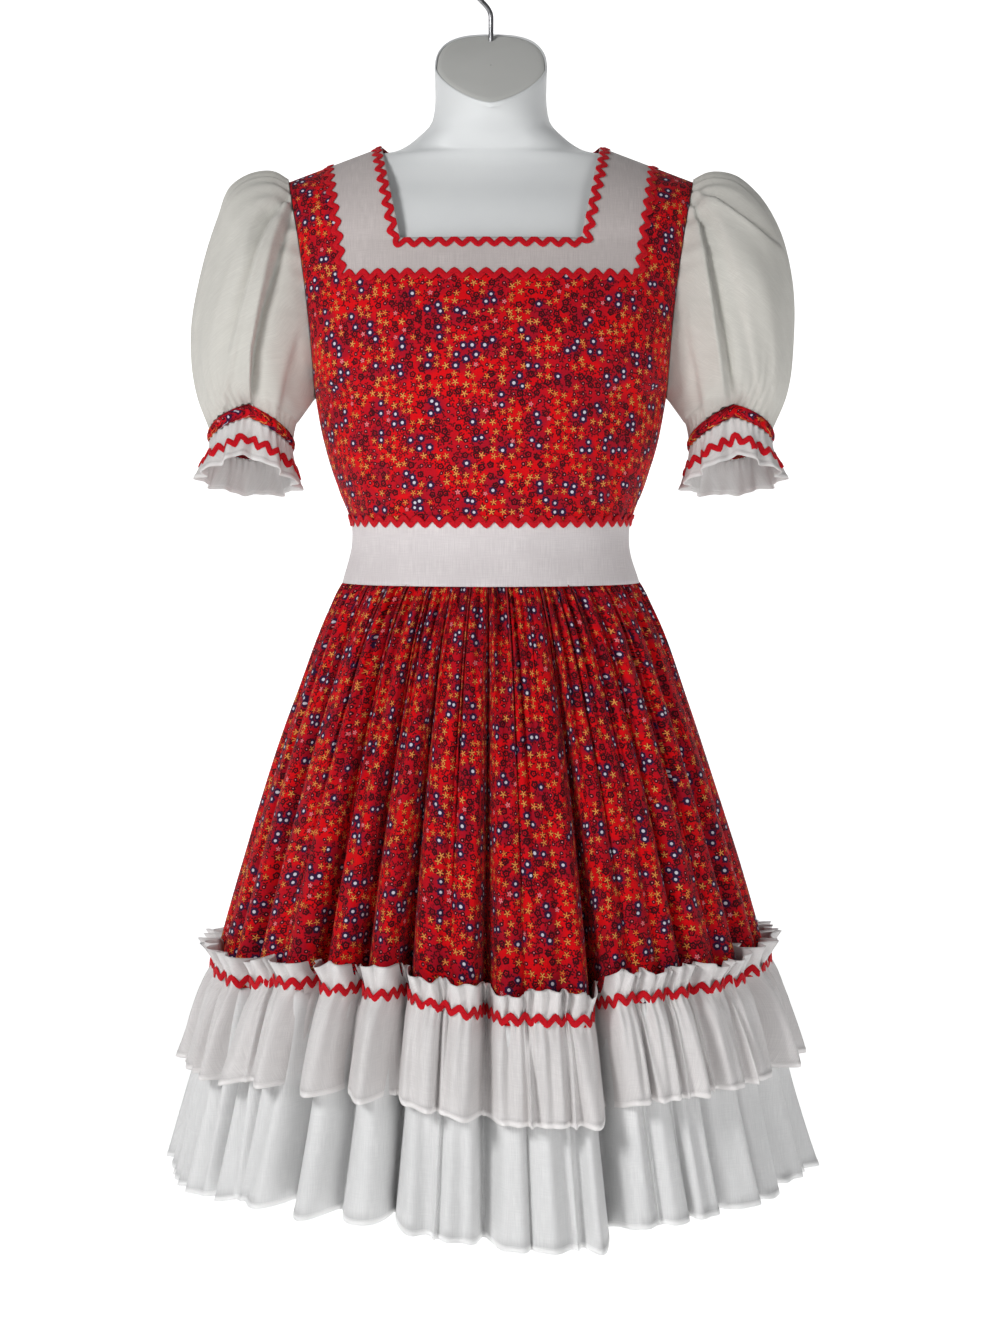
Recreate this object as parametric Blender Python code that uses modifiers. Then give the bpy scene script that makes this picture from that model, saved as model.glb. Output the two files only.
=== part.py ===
"""Prairie dress, worn by a smooth torso form that hangs from a wire hook.

Metres, +Z up. The origin is where a rail bears in the hook, so heights on the dress are
negative. The front faces -Y, and +X is to the right as one looks at the front.
The dress is red printed cotton with a white square yoke, a white waistband, white puff
sleeves and two white ruffles round the hem, all edged with red rickrack.
"""

import math
from collections import namedtuple

import bmesh
import bpy
from mathutils import Vector
from mathutils.bvhtree import BVHTree

# Cloth and seams
CLOTH = 0.0012
SEAM = 0.0005
RIDGE_SEAM = 0.0008
LAY = 0.0007
CUFF_LAY = 0.0009
RUFFLE_LAY = 0.0012
TRIM_THICK = 0.0010

# The shoulder line stands this far in front of the hook's stem
SHOULDER_Y = -0.018

# Heights on the dress
NECK_POINT = (0.1026, -0.1815)
SHOULDER_TIP = (0.1900, -0.2147)
UNDERARM = (0.1650, -0.4190)
NECK_EDGE = -0.2746
YOKE_EDGE = -0.3087
BAND_TOP = -0.5330
BAND_MIDDLE = -0.5560
BAND_BOTTOM = -0.5920
WAISTBAND_COLUMNS = 36
BACK_NECK = (0.066, -0.2050)
BACK_SHOULDER_BASE = -0.3000

# Share of the half width at which the yoke's edges lie, at the chest and at the shoulder
NECK_SHARE = (0.4630, 0.5400)
YOKE_SHARE = (0.7840, 0.8020)

# How the cloth falls from the chest and from the shoulder blades to the shoulder seam
CHEST_FALL = (1.7, 0.6)
BLADE_FALL = (2.6, 0.5)

# Armhole: half the depth of the opening, and how far its edge curves in
ARMHOLE_DEPTH = 0.048
ARMHOLE_BOW = 0.0055

# Bodice, by height: half width below the armhole, and how far front and back stand out
Girth = namedtuple("Girth", "height half_width front back")
BODICE = [
    Girth(-0.5920, 0.1400, 0.1060, 0.1060),
    Girth(-0.5560, 0.1310, 0.0990, 0.0980),
    Girth(-0.5330, 0.1320, 0.1000, 0.0960),
    Girth(-0.5050, 0.1430, 0.1075, 0.0980),
    Girth(-0.4650, 0.1560, 0.1180, 0.1020),
    Girth(-0.4190, 0.1650, 0.1260, 0.1060),
    Girth(-0.3800, 0.1700, 0.1280, 0.1080),
    Girth(-0.3450, 0.1740, 0.1230, 0.1080),
    Girth(-0.3087, 0.1780, 0.1120, 0.1050),
    Girth(-0.2746, 0.1820, 0.0980, 0.0985),
]

# Skirt, by the drop below the waistband
Flare = namedtuple("Flare", "drop half_width half_depth")
SKIRT = [
    Flare(0.000, 0.1400, 0.1060),
    Flare(0.028, 0.1545, 0.1220),
    Flare(0.112, 0.1855, 0.1550),
    Flare(0.240, 0.2265, 0.1960),
    Flare(0.339, 0.2545, 0.2230),
    Flare(0.365, 0.2610, 0.2290),
]
SLIT_ROW = 2
SLIT = 0.0042
WAIST_GATHER = 0.0016
FOLD_GROWTH = 0.95

# Folds of the skirt: where each deep fold runs, how deep it is at the skirt's edge, and
# how many ridges fill the cloth from it to the next deep fold. Angles run from the
# front towards +X.
Fold = namedtuple("Fold", "angle depth ridges")
SHALLOW_FOLD = 0.0075
FRONT_FOLDS = [
    Fold(-90.0, 0.014, 3),
    Fold(-62.5, 0.036, 2),
    Fold(-41.6, 0.038, 1),
    Fold(-30.2, 0.034, 1),
    Fold(-19.5, 0.036, 2),
    Fold(-0.6, 0.034, 3),
    Fold(24.8, 0.056, 3),
    Fold(47.5, 0.014, 2),
    Fold(68.0, 0.030, 2),
]
BACK_FOLDS = [
    Fold(90.0, 0.014, 2),
    Fold(107.0, 0.036, 2),
    Fold(124.5, 0.040, 2),
    Fold(142.0, 0.032, 2),
    Fold(160.0, 0.042, 2),
    Fold(180.0, 0.004, 2),
    Fold(200.0, 0.042, 2),
    Fold(218.0, 0.034, 2),
    Fold(236.0, 0.044, 2),
    Fold(254.0, 0.034, 2),
]
# Share of a ridge's width that its slope takes, beside a deep and a shallow fold
DEEP_SLOPE = 0.38
SHALLOW_SLOPE = 0.28
# Share of a ruffle's own wave that its valleys take
VALLEY_WAVE = 0.4
# The least cosine by which a ring's corner is moved out, so that sharp folds don't spike
SHARPEST = 0.22

# How much lower the skirt's edge hangs at each angle
Sag = namedtuple("Sag", "angle drop")
SAGS = [
    Sag(-90.0, -0.005),
    Sag(-64.0, -0.001),
    Sag(-50.0, -0.012),
    Sag(-18.0, -0.009),
    Sag(0.0, 0.007),
    Sag(22.0, 0.012),
    Sag(28.0, -0.005),
    Sag(50.0, -0.005),
    Sag(90.0, -0.009),
    Sag(130.0, 0.005),
    Sag(180.0, -0.002),
    Sag(230.0, 0.006),
    Sag(270.0, -0.005),
]

# Ruffles, by height: the outline, and how much of each skirt fold runs on in it
Tier = namedtuple("Tier", "height half_width half_depth fold_share wave")
STITCH = -0.9510
HEADER_WAVE = (0.0024, 0.0077, 0.0032, 0.0072)
STITCH_WAVE = (0.0024, 0.0026, 0.0021, 0.0025)
UPPER_RUFFLE = [
    Tier(-0.9860, 0.2770, 0.2450, 1.00, 0.0045),
    Tier(-1.0380, 0.2920, 0.2600, 1.00, 0.0080),
]
LOWER_RUFFLE = [
    Tier(-1.0450, 0.2760, 0.2430, 1.00, 0.0030),
    Tier(-1.1420, 0.3020, 0.2690, 1.10, 0.0060),
]

# Right sleeve: where its outer and inner outlines run in the front view, half its depth,
# how far its front is lifted, and how deep its gathers are
Ring = namedtuple("Ring", "outer_x outer_z inner_x inner_z half_depth lift gather")
SLEEVE = [
    Ring(0.2040, -0.2060, 0.1675, -0.4215, 0.0540, 0.000, 0.0020),
    Ring(0.2270, -0.2050, 0.1700, -0.4250, 0.0600, 0.000, 0.0035),
    Ring(0.2500, -0.2220, 0.1725, -0.4285, 0.0650, 0.000, 0.0040),
    Ring(0.2680, -0.2560, 0.1755, -0.4320, 0.0680, 0.002, 0.0040),
    Ring(0.2810, -0.3070, 0.1785, -0.4355, 0.0690, 0.004, 0.0040),
    Ring(0.2840, -0.3650, 0.1815, -0.4390, 0.0640, 0.007, 0.0045),
    Ring(0.2770, -0.4180, 0.1845, -0.4430, 0.0530, 0.010, 0.0045),
    Ring(0.2640, -0.4480, 0.1880, -0.4540, 0.0400, 0.013, 0.0020),
]
SLEEVE_COLUMNS = 24
GATHER_COLUMNS = 3
# Share of a gather's depth by which the cloth between gathers swells out
GATHER_SWELL = 0.4
CUFF_BAND = [
    Ring(0.2640, -0.4488, 0.1880, -0.4548, 0.0400, 0.013, 0.0),
    Ring(0.2650, -0.4600, 0.1870, -0.4660, 0.0400, 0.013, 0.0),
]
CUFF_RUFFLE = [
    Ring(0.2650, -0.4609, 0.1870, -0.4669, 0.0400, 0.013, 0.0012),
    Ring(0.2690, -0.4780, 0.1850, -0.4840, 0.0440, 0.013, 0.0035),
    Ring(0.2745, -0.4950, 0.1825, -0.5010, 0.0480, 0.012, 0.0055),
]
CUFF_COLUMNS = 27
CUFF_TRIM_SHARE = 0.42

# Rickrack
RICK_PITCH = 0.0145
RICK_RISE = 0.0030
RICK_WIDTH = 0.0046
NECK_TRIM_INSET = 0.0056
WAIST_TRIM_POINTS = 90
# Share of the first step of a path by which a trim stops short of the shoulder seam
SHOULDER_STOP = 0.4

# Torso form, by height: half width, how far front and back stand out, the squareness of
# its outline, and how its top leans to the front
Section = namedtuple("Section", "height half_width front back squareness shift lean")
FORM = [
    Section(-0.7900, 0.1460, 0.0940, 0.1000, 2.2, 0.000, 0.0),
    Section(-0.7000, 0.1500, 0.0960, 0.1040, 2.2, 0.000, 0.0),
    Section(-0.6300, 0.1380, 0.0940, 0.0960, 2.1, 0.000, 0.0),
    Section(-0.5560, 0.1180, 0.0860, 0.0850, 2.0, 0.000, 0.0),
    Section(-0.5000, 0.1260, 0.0920, 0.0830, 2.0, 0.000, 0.0),
    Section(-0.4400, 0.1440, 0.1080, 0.0900, 2.1, 0.000, 0.0),
    Section(-0.3800, 0.1560, 0.1180, 0.0960, 2.2, 0.000, 0.0),
    Section(-0.3200, 0.1620, 0.1080, 0.0950, 2.2, 0.000, 0.0),
    Section(-0.2700, 0.1670, 0.0880, 0.0860, 2.2, 0.000, 0.00),
    Section(-0.2350, 0.1690, 0.0700, 0.0720, 2.1, 0.000, 0.00),
    Section(-0.2190, 0.1670, 0.0560, 0.0600, 2.0, 0.000, 0.00),
    Section(-0.2075, 0.1600, 0.0460, 0.0500, 2.0, 0.000, 0.00),
    Section(-0.2005, 0.1450, 0.0400, 0.0420, 2.0, 0.000, 0.00),
    Section(-0.1921, 0.1220, 0.0400, 0.0370, 2.0, 0.000, 0.00),
    Section(-0.1834, 0.0840, 0.0460, 0.0420, 2.0, 0.000, 0.02),
    Section(-0.1710, 0.0665, 0.0470, 0.0510, 2.0, -0.004, 0.10),
    Section(-0.1600, 0.0560, 0.0460, 0.0500, 2.0, -0.008, 0.20),
    Section(-0.1450, 0.0525, 0.0460, 0.0490, 2.1, -0.013, 0.38),
    Section(-0.1260, 0.0522, 0.0470, 0.0480, 2.2, -0.018, 0.60),
    Section(-0.1110, 0.0527, 0.0490, 0.0500, 2.3, -0.021, 0.80),
]
FORM_COLUMNS = 24
CAP_LIFT = 0.0020
CAP_INSET = 0.93

# Hook: a bent wire whose eye stands above the form's neck
WIRE = 0.0048
RAIL_ROOM = 0.0380
HOOK_START = 215.0
HOOK_END = -35.0
STEM_BEND = -0.0560
SOCKET_TOP = -0.0760
SOCKET_DEPTH = 0.0300
SOCKET_PLAY = 0.0003
SOCKET_CLEAR = 0.0200
BEND_LEAD = 0.0100
BEND_STEPS = 6
CROOK_STEPS = 18

# Back zip: the closed strip, and the slider at its top
ZIP_HALF = 0.0037
ZIP_TOP = -0.2110
# The strip lies this far inside the back's outer face, and stops short of the slit's foot
ZIP_SINK = 0.0004
ZIP_FOOT_GAP = 0.0012
# Where along the back's half width the zip's surface is taken
ZIP_SHARE = 0.02
SLIDER_DROP = 0.0040
SLIDER = (0.0076, 0.0022, 0.0100)
BRIDGE_WIDTH = 0.0018
BRIDGE_BAR = 0.0010
PULL_BAR = 0.0012
PULL_PLAY = 0.0005
PULL_LENGTH = 0.0200
PULL_WIDTH = 0.0066

COLOURS = {
    "print": ((0.62, 0.02, 0.03), 0.85, 0.0),
    "white_cotton": ((0.83, 0.82, 0.81), 0.85, 0.0),
    "sleeve_cotton": ((0.80, 0.80, 0.77), 0.80, 0.0),
    "rickrack": ((0.72, 0.01, 0.02), 0.70, 0.0),
    "form_plastic": ((0.78, 0.79, 0.80), 0.45, 0.0),
    "hook_wire": ((0.55, 0.55, 0.56), 0.30, 1.0),
    "zip_tape": ((0.58, 0.03, 0.04), 0.70, 0.0),
    "zip_metal": ((0.60, 0.58, 0.55), 0.35, 1.0),
}


def between(table, key, value):
    """The row of a table at this value of its key column, straight between its rows."""
    rows = sorted(table, key=lambda row: getattr(row, key))
    if value <= getattr(rows[0], key):
        return rows[0]
    for low, high in zip(rows, rows[1:]):
        if value <= getattr(high, key):
            share = (value - getattr(low, key)) / (getattr(high, key) - getattr(low, key))
            return type(low)(*(a + (b - a) * share for a, b in zip(low, high)))
    return rows[-1]


def make_materials():
    """One Principled material for each finish."""
    made = {}
    for name, (colour, roughness, metallic) in COLOURS.items():
        material = bpy.data.materials.new(name)
        material.use_nodes = True
        shader = material.node_tree.nodes["Principled BSDF"]
        shader.inputs["Base Color"].default_value = (*colour, 1.0)
        shader.inputs["Roughness"].default_value = roughness
        shader.inputs["Metallic"].default_value = metallic
        made[name] = material
    return made


def place(obj, parent, material):
    """Links an object to the dress's collection, with its material and its parent."""
    bpy.data.collections["prairie_dress"].objects.link(obj)
    obj.parent = parent
    obj.data.materials.clear()
    obj.data.materials.append(material)
    return obj


def cloth(name, rows, parent, material, thick=CLOTH, outward=False, closed=False, keep=None):
    """A sheet through rows of points, from its top row down, with Solidify for its wall.

    Columns run to the right as seen from outside. The points are the outer face, or the
    inner one when outward is set. keep says which cells are cloth.
    """
    columns = len(rows[0])
    mesh = bmesh.new()
    points = [[mesh.verts.new(p) for p in row] for row in rows]
    for r in range(len(rows) - 1):
        for c in range(columns if closed else columns - 1):
            if keep and not keep(r, c):
                continue
            d = (c + 1) % columns
            mesh.faces.new((points[r][c], points[r + 1][c], points[r + 1][d], points[r][d]))
    loose = [v for v in mesh.verts if not v.link_faces]
    bmesh.ops.delete(mesh, geom=loose, context="VERTS")
    data = bpy.data.meshes.new(name)
    mesh.to_mesh(data)
    mesh.free()
    data.shade_smooth()
    obj = place(bpy.data.objects.new(name, data), parent, material)
    wall = obj.modifiers.new("wall", "SOLIDIFY")
    wall.thickness = thick
    wall.offset = 1.0 if outward else -1.0
    wall.use_even_offset = True
    wall.use_quality_normals = True
    return obj


# Bodice


def shoulder_height(x):
    """Height of the shoulder line over a point x from the middle."""
    (x0, z0), (x1, z1) = NECK_POINT, SHOULDER_TIP
    return z0 + (z1 - z0) * (max(x, x0) - x0) / (x1 - x0)


def armhole_x(height):
    """Half width at the armhole's edge."""
    (x0, z0), (x1, z1) = UNDERARM, SHOULDER_TIP
    share = (height - z0) / (z1 - z0)
    return x0 + (x1 - x0) * share - ARMHOLE_BOW * 4 * share * (1 - share)


def armhole_y(height):
    """How far the armhole's edge stands in front of the shoulder line."""
    middle = (UNDERARM[1] + SHOULDER_TIP[1]) / 2
    half = (SHOULDER_TIP[1] - UNDERARM[1]) / 2
    return ARMHOLE_DEPTH * math.sqrt(max(0.0, 1 - ((height - middle) / half) ** 2))


def side_share(height):
    """0 at the underarm and below, 1 from the yoke's edge up."""
    return min(1.0, max(0.0, (height - UNDERARM[1]) / (YOKE_EDGE - UNDERARM[1])))


def body_depth(share, centre, edge, rise):
    """How far cloth at this share of the half width stands out from the shoulder line."""
    power = 2.0 + 0.2 * rise
    root = 0.5 + 0.25 * rise
    return edge + (centre - edge) * max(0.0, 1 - share**power) ** root


def bodice_point(share, height, way):
    """A point of the bodice below the shoulder. way is -1 at the front, 1 at the back."""
    girth = between(BODICE, "height", height)
    centre = girth.front if way < 0 else girth.back
    rise = side_share(height)
    half = armhole_x(height) if rise > 0 else girth.half_width
    edge = armhole_y(height) if rise > 0 else 0.0
    out = body_depth(abs(share), centre, edge, rise)
    return Vector((share * half, way * out, height))


def front_shoulder_point(share, climb):
    """A point of the front between the neck's lower edge, climb 0, and the shoulder seam."""
    chest = between(BODICE, "height", NECK_EDGE)
    half = armhole_x(NECK_EDGE + (SHOULDER_TIP[1] - NECK_EDGE) * climb)
    x = abs(share) * half
    height = NECK_EDGE + (shoulder_height(x) - NECK_EDGE) * climb
    edge_height = NECK_EDGE + (SHOULDER_TIP[1] - NECK_EDGE) * climb
    centre = chest.front * (1 - climb ** CHEST_FALL[0]) ** CHEST_FALL[1]
    edge = armhole_y(edge_height)
    return Vector((share * half, -body_depth(abs(share), centre, edge, 1.0), height))


def back_shoulder_point(share, climb):
    """A point of the back between its shoulder blades, climb 0, and its upper edge."""
    base = BACK_SHOULDER_BASE
    blades = between(BODICE, "height", base)
    edge_height = base + (SHOULDER_TIP[1] - base) * climb
    half = armhole_x(edge_height)
    x = abs(share) * half
    inside = max(0.0, 1 - (x / NECK_POINT[0]) ** 2)
    neck_drop = (NECK_POINT[1] - BACK_NECK[1]) * inside
    height = base + (shoulder_height(x) - neck_drop - base) * climb
    fall = (1 - climb ** BLADE_FALL[0]) ** BLADE_FALL[1]
    top = BACK_NECK[0] * math.sqrt(inside)
    edge = armhole_y(edge_height)
    out = body_depth(abs(share), blades.back * fall, edge, 1.0)
    return Vector((share * half, max(out, top + (blades.back - top) * fall * inside), height))


def seam_shift(points, way, gap):
    """Moves points off a seam that lies along the shoulder line."""
    return [p + Vector((0, way * gap / 2, 0)) for p in points]


def front_shares(rise):
    """Shares of the half width for the front's columns, the yoke's edges among them."""
    neck = NECK_SHARE[0] + (NECK_SHARE[1] - NECK_SHARE[0]) * rise
    yoke = YOKE_SHARE[0] + (YOKE_SHARE[1] - YOKE_SHARE[0]) * rise
    slit = SEAM / 2 / SHOULDER_TIP[0]
    half = [
        neck / 3,
        neck * 2 / 3,
        neck,
        neck + (yoke - neck) * 0.36,
        neck + (yoke - neck) * 0.70,
        yoke - slit,
        yoke + slit,
        yoke + (1 - yoke) * 0.45,
        yoke + (1 - yoke) * 0.78,
        yoke + (1 - yoke) * 0.95,
        1.0,
    ]
    return [-s for s in reversed(half)] + [0.0] + half


FRONT_LOW = [-0.5050, -0.4650, -0.4190, -0.3800, -0.3450]
FRONT_CLIMBS = [0.40, 0.72, 0.90, 0.98, 1.0]
# Columns, counted from the left, at which the yoke and the neck begin and end
YOKE_COLUMNS = (5, 17)
NECK_COLUMNS = (8, 14)
BIB_ROW = len(FRONT_CLIMBS)


def front_rows():
    """Rows of the whole front from the shoulder seam down, as if it had no neck opening."""
    rows = []
    for climb in reversed(FRONT_CLIMBS):
        shares = front_shares(climb)
        rows.append([front_shoulder_point(s, climb) for s in shares])
    rows[0] = seam_shift(rows[0], -1, RIDGE_SEAM)
    chest = front_shares(0.0)
    heights = [NECK_EDGE, YOKE_EDGE + SEAM / 2, YOKE_EDGE - SEAM / 2]
    heights += list(reversed(FRONT_LOW)) + [BAND_TOP + SEAM / 2]
    for height in heights:
        row = [bodice_point(s, height, -1) for s in chest]
        if height <= UNDERARM[1]:
            row[0].y -= RIDGE_SEAM / 2
            row[-1].y -= RIDGE_SEAM / 2
        rows.append(row)
    return rows


def yoke_cell(r, c):
    """Cells of the front that are the white yoke: two straps and a bib, round the neck."""
    if r > BIB_ROW or not YOKE_COLUMNS[0] <= c < YOKE_COLUMNS[1]:
        return False
    return r == BIB_ROW or not NECK_COLUMNS[0] <= c < NECK_COLUMNS[1]


def print_cell(r, c):
    """Cells of the front that are printed cloth."""
    return r > BIB_ROW + 1 or not YOKE_COLUMNS[0] <= c + 1 <= YOKE_COLUMNS[1] + 1


BACK_SHARES = [0.23, 0.42, 0.60, 0.76, 0.89, 0.965, 1.0]
BACK_LOW = [-0.5050, -0.4650, -0.4190, -0.3750, -0.3350]
BACK_CLIMBS = [0.35, 0.66, 0.87, 0.98, 1.0]


def back_rows():
    """Rows of the left half of the back, from its upper edge down, from the zip out."""
    rows = []
    heights = [BACK_SHOULDER_BASE] + list(reversed(BACK_LOW)) + [BAND_TOP + SEAM / 2]
    for climb in reversed(BACK_CLIMBS):
        half = armhole_x(BACK_SHOULDER_BASE + (SHOULDER_TIP[1] - BACK_SHOULDER_BASE) * climb)
        rows.append([back_shoulder_point(-s, climb) for s in [SLIT / half] + BACK_SHARES])
    rows[0] = seam_shift(rows[0], 1, RIDGE_SEAM)
    for height in heights:
        half = between(BODICE, "height", height).half_width
        row = [bodice_point(-s, height, 1) for s in [SLIT / half] + BACK_SHARES]
        row[0].x = -SLIT
        if height <= UNDERARM[1]:
            row[-1].y += RIDGE_SEAM / 2
        rows.append(row)
    return rows


def mirrored(rows):
    """The same rows on the other side, in the order that keeps the outside out."""
    return [[Vector((-p.x, p.y, p.z)) for p in reversed(row)] for row in rows]


def waistband_rows():
    """The waistband, open at the zip: from the zip round by -X, the front and +X."""
    rows = []
    count = WAISTBAND_COLUMNS
    for height in (BAND_TOP - SEAM / 2, BAND_MIDDLE, BAND_BOTTOM):
        girth = between(BODICE, "height", height)
        start = math.asin(SLIT / girth.half_width)
        row = []
        for i in range(count + 1):
            angle = -math.pi + start + (2 * math.pi - 2 * start) * i / count
            depth = girth.front if abs(angle) < math.pi / 2 else girth.back
            row.append(
                Vector((girth.half_width * math.sin(angle), -depth * math.cos(angle), height))
            )
        rows.append(row)
    return rows


# Skirt and ruffles

Column = namedtuple("Column", "angle depth kind")
VALLEY, RISE_END, RIDGE_MIDDLE, FALL_START = range(4)


def fold_columns(folds, last_angle):
    """Columns of one half of the skirt: each fold's valley, then the two ends of its ridge."""
    columns = []
    ends = [fold.angle for fold in folds[1:]] + [last_angle]
    for fold, end in zip(folds, ends):
        pitch = (end - fold.angle) / fold.ridges
        for k in range(fold.ridges):
            valley = fold.angle + k * pitch
            rise = DEEP_SLOPE if k == 0 else SHALLOW_SLOPE
            fall = DEEP_SLOPE if k == fold.ridges - 1 else SHALLOW_SLOPE
            columns.append(Column(valley, fold.depth if k == 0 else SHALLOW_FOLD, VALLEY))
            columns.append(Column(valley + pitch * rise, 0.0, RISE_END))
            columns.append(Column(valley + pitch * (1 - fall), 0.0, FALL_START))
    return columns


def all_columns():
    """Columns all round, from the left side seam by the front and right to the back."""
    return fold_columns(FRONT_FOLDS, 90.0) + fold_columns(BACK_FOLDS, 270.0)


def ring_point(angle, half_width, half_depth, depth, height):
    """A point at this angle on an ellipse, taken in by depth."""
    a = math.radians(angle)
    reach = 1 / math.hypot(math.sin(a) / half_width, math.cos(a) / half_depth) - depth
    return Vector((reach * math.sin(a), -reach * math.cos(a), height))


def split_at_slit(points, columns):
    """Doubles the column at the middle of the back, so that the slit lies between the two."""
    out = []
    for point, column in zip(points, columns):
        if column.angle == 180.0:
            out.append(Vector((SLIT, point.y, point.z)))
            out.append(Vector((-SLIT, point.y, point.z)))
        else:
            out.append(point)
    return out


def skirt_ring(drop):
    """The skirt's outer face at this drop below the waistband, all round."""
    flare = between(SKIRT, "drop", drop)
    share = (drop / SKIRT[-1].drop) ** FOLD_GROWTH
    columns = all_columns()
    height = BAND_BOTTOM - SEAM - drop
    points = []
    for column in columns:
        gather = WAIST_GATHER * (1 - share) if column.kind == VALLEY else 0.0
        depth = column.depth * share + gather
        points.append(ring_point(column.angle, flare.half_width, flare.half_depth, depth, height))
    return split_at_slit(points, columns)


def with_middles(ring):
    """The ring with one more point in the middle of each ridge."""
    kinds = split_kinds()
    out = []
    for i, (point, kind) in enumerate(zip(ring, kinds)):
        out.append(point)
        if kind == RISE_END:
            out.append((point + ring[i + 1]) / 2)
    return out


def split_kinds(middles=False):
    """What each point of a ring is: valley, or the start, middle or end of a ridge."""
    kinds = []
    for column in all_columns():
        kinds += [column.kind] * (2 if column.angle == 180.0 else 1)
        if middles and column.kind == RISE_END:
            kinds.append(RIDGE_MIDDLE)
    return kinds


def moved_out(ring, distances):
    """The closed ring moved outwards square to its sides, by a distance at each point."""
    count = len(ring)
    out = []
    for i, point in enumerate(ring):
        sides = (point - ring[i - 1], ring[(i + 1) % count] - point)
        normals = [Vector((side.y, -side.x, 0)).normalized() for side in sides]
        square = (normals[0] + normals[1]).normalized()
        reach = distances[i] / max(SHARPEST, square.dot(normals[0]))
        out.append(point + square * reach)
    return out


def tier_ring(tier, middles):
    """A ruffle's outer face at one height, with its own waves between the skirt's folds."""
    columns = []
    for column, following in zip(all_columns(), all_columns()[1:] + [None]):
        columns.append(column)
        if middles and column.kind == RISE_END:
            middle = (column.angle + following.angle) / 2
            columns.append(Column(middle, 0.0, RIDGE_MIDDLE))
    waves = {VALLEY: VALLEY_WAVE * tier.wave, RIDGE_MIDDLE: tier.wave}
    points = []
    for column in columns:
        depth = column.depth * tier.fold_share + waves.get(column.kind, 0.0)
        points.append(
            ring_point(column.angle, tier.half_width, tier.half_depth, depth, tier.height)
        )
    return split_at_slit(points, columns)


def hung(ring):
    """The ring let down by the skirt's sag, which grows from the waist to the stitching."""
    out = []
    for point in ring:
        angle = (math.degrees(math.atan2(point.x, -point.y)) + 90.0) % 360.0 - 90.0
        share = min(1.0, max(0.0, (BAND_BOTTOM - point.z) / (BAND_BOTTOM - STITCH)))
        drop = between(SAGS, "angle", angle).drop * share
        out.append(point - Vector((0, 0, drop)))
    return out


def halves(ring, per_ridge):
    """Cuts a closed ring at its side seams into a front and a back, a seam's gap apart."""
    ring = hung(ring)
    front_count = sum(fold.ridges for fold in FRONT_FOLDS) * per_ridge
    front = [p.copy() for p in ring[: front_count + 1]]
    back = [p.copy() for p in ring[front_count:]] + [ring[0].copy()]
    for end in (0, -1):
        front[end].y -= SEAM / 2
        back[end].y += SEAM / 2
    return front, back


def skirt_rows():
    """Rows of the skirt's front and of its back."""
    pairs = [halves(skirt_ring(flare.drop), 3) for flare in SKIRT]
    return [front for front, _ in pairs], [back for _, back in pairs]


def skirt_back_cell(r, c):
    """Cells of the skirt's back that are cloth: all but the slit for the zip."""
    middle = 3 * sum(fold.ridges for fold in BACK_FOLDS if fold.angle < 180.0)
    return not (c == middle and r < SLIT_ROW)


def header_and_stitch():
    """The upper ruffle's outer face at its header's edge and at its stitching."""
    kinds = split_kinds(middles=True)
    made = []
    for height, wave in ((BAND_BOTTOM - SEAM - SKIRT[4].drop, HEADER_WAVE), (STITCH, STITCH_WAVE)):
        ring = with_middles(skirt_ring(BAND_BOTTOM - SEAM - height))
        made.append(moved_out(ring, [wave[kind] for kind in kinds]))
    return made


def upper_ruffle_rows():
    """Rows of the upper ruffle's outer face, front and back, header first."""
    rings = header_and_stitch() + [tier_ring(tier, True) for tier in UPPER_RUFFLE]
    pairs = [halves(ring, 4) for ring in rings]
    return [front for front, _ in pairs], [back for _, back in pairs]


def lower_ruffle_rows():
    """Rows of the lower ruffle's outer face, which is sewn to the skirt's edge."""
    top = [p - Vector((0, 0, SEAM)) for p in skirt_ring(SKIRT[-1].drop)]
    rings = [top] + [tier_ring(tier, False) for tier in LOWER_RUFFLE]
    pairs = [halves(ring, 3) for ring in rings]
    return [front for front, _ in pairs], [back for _, back in pairs]


def ruffle_trim_rows():
    """Two edges of the rickrack over the ruffle's stitching, one zigzag point a column."""
    header, stitch = header_and_stitch()
    below = tier_ring(UPPER_RUFFLE[0], True)
    edges = []
    for side in (1, -1):
        ring = []
        for i, point in enumerate(stitch):
            rise = RICK_RISE * (1 if i % 2 else -1) + side * RICK_WIDTH / 2
            other = header[i] if rise > 0 else below[i]
            share = abs(rise) / abs(other.z - point.z)
            ring.append(point.lerp(other, share))
        edges.append(hung(moved_out(ring, [RUFFLE_LAY] * len(ring))))
    return edges


# Sleeves and cuffs


def sleeve_ring(ring, count):
    """One ring of a right sleeve, from its outer side by the back and the body's side."""
    outer = Vector((ring.outer_x, 0, ring.outer_z))
    inner = Vector((ring.inner_x, 0, ring.inner_z))
    centre, half = (outer + inner) / 2, (outer - inner) / 2
    points = []
    for i in range(count):
        angle = 2 * math.pi * i / count
        back = math.sin(angle)
        taken = ring.gather * (1.0 if i % GATHER_COLUMNS == 0 else -GATHER_SWELL)
        across = Vector((0, ring.half_depth * back, -ring.lift * back))
        arm = half * math.cos(angle) + across
        points.append(centre + arm * (1 - taken / arm.length))
    return points


def armhole_ring(count):
    """The sleeve's first ring, a seam's gap outside the bodice's armhole."""
    middle = (SHOULDER_TIP[1] + UNDERARM[1]) / 2
    half = (SHOULDER_TIP[1] - UNDERARM[1]) / 2
    points = []
    for i in range(count):
        angle = 2 * math.pi * i / count
        height = middle + half * math.cos(angle)
        points.append(
            Vector((armhole_x(height) + SEAM, ARMHOLE_DEPTH * math.sin(angle), height))
        )
    return points


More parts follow.
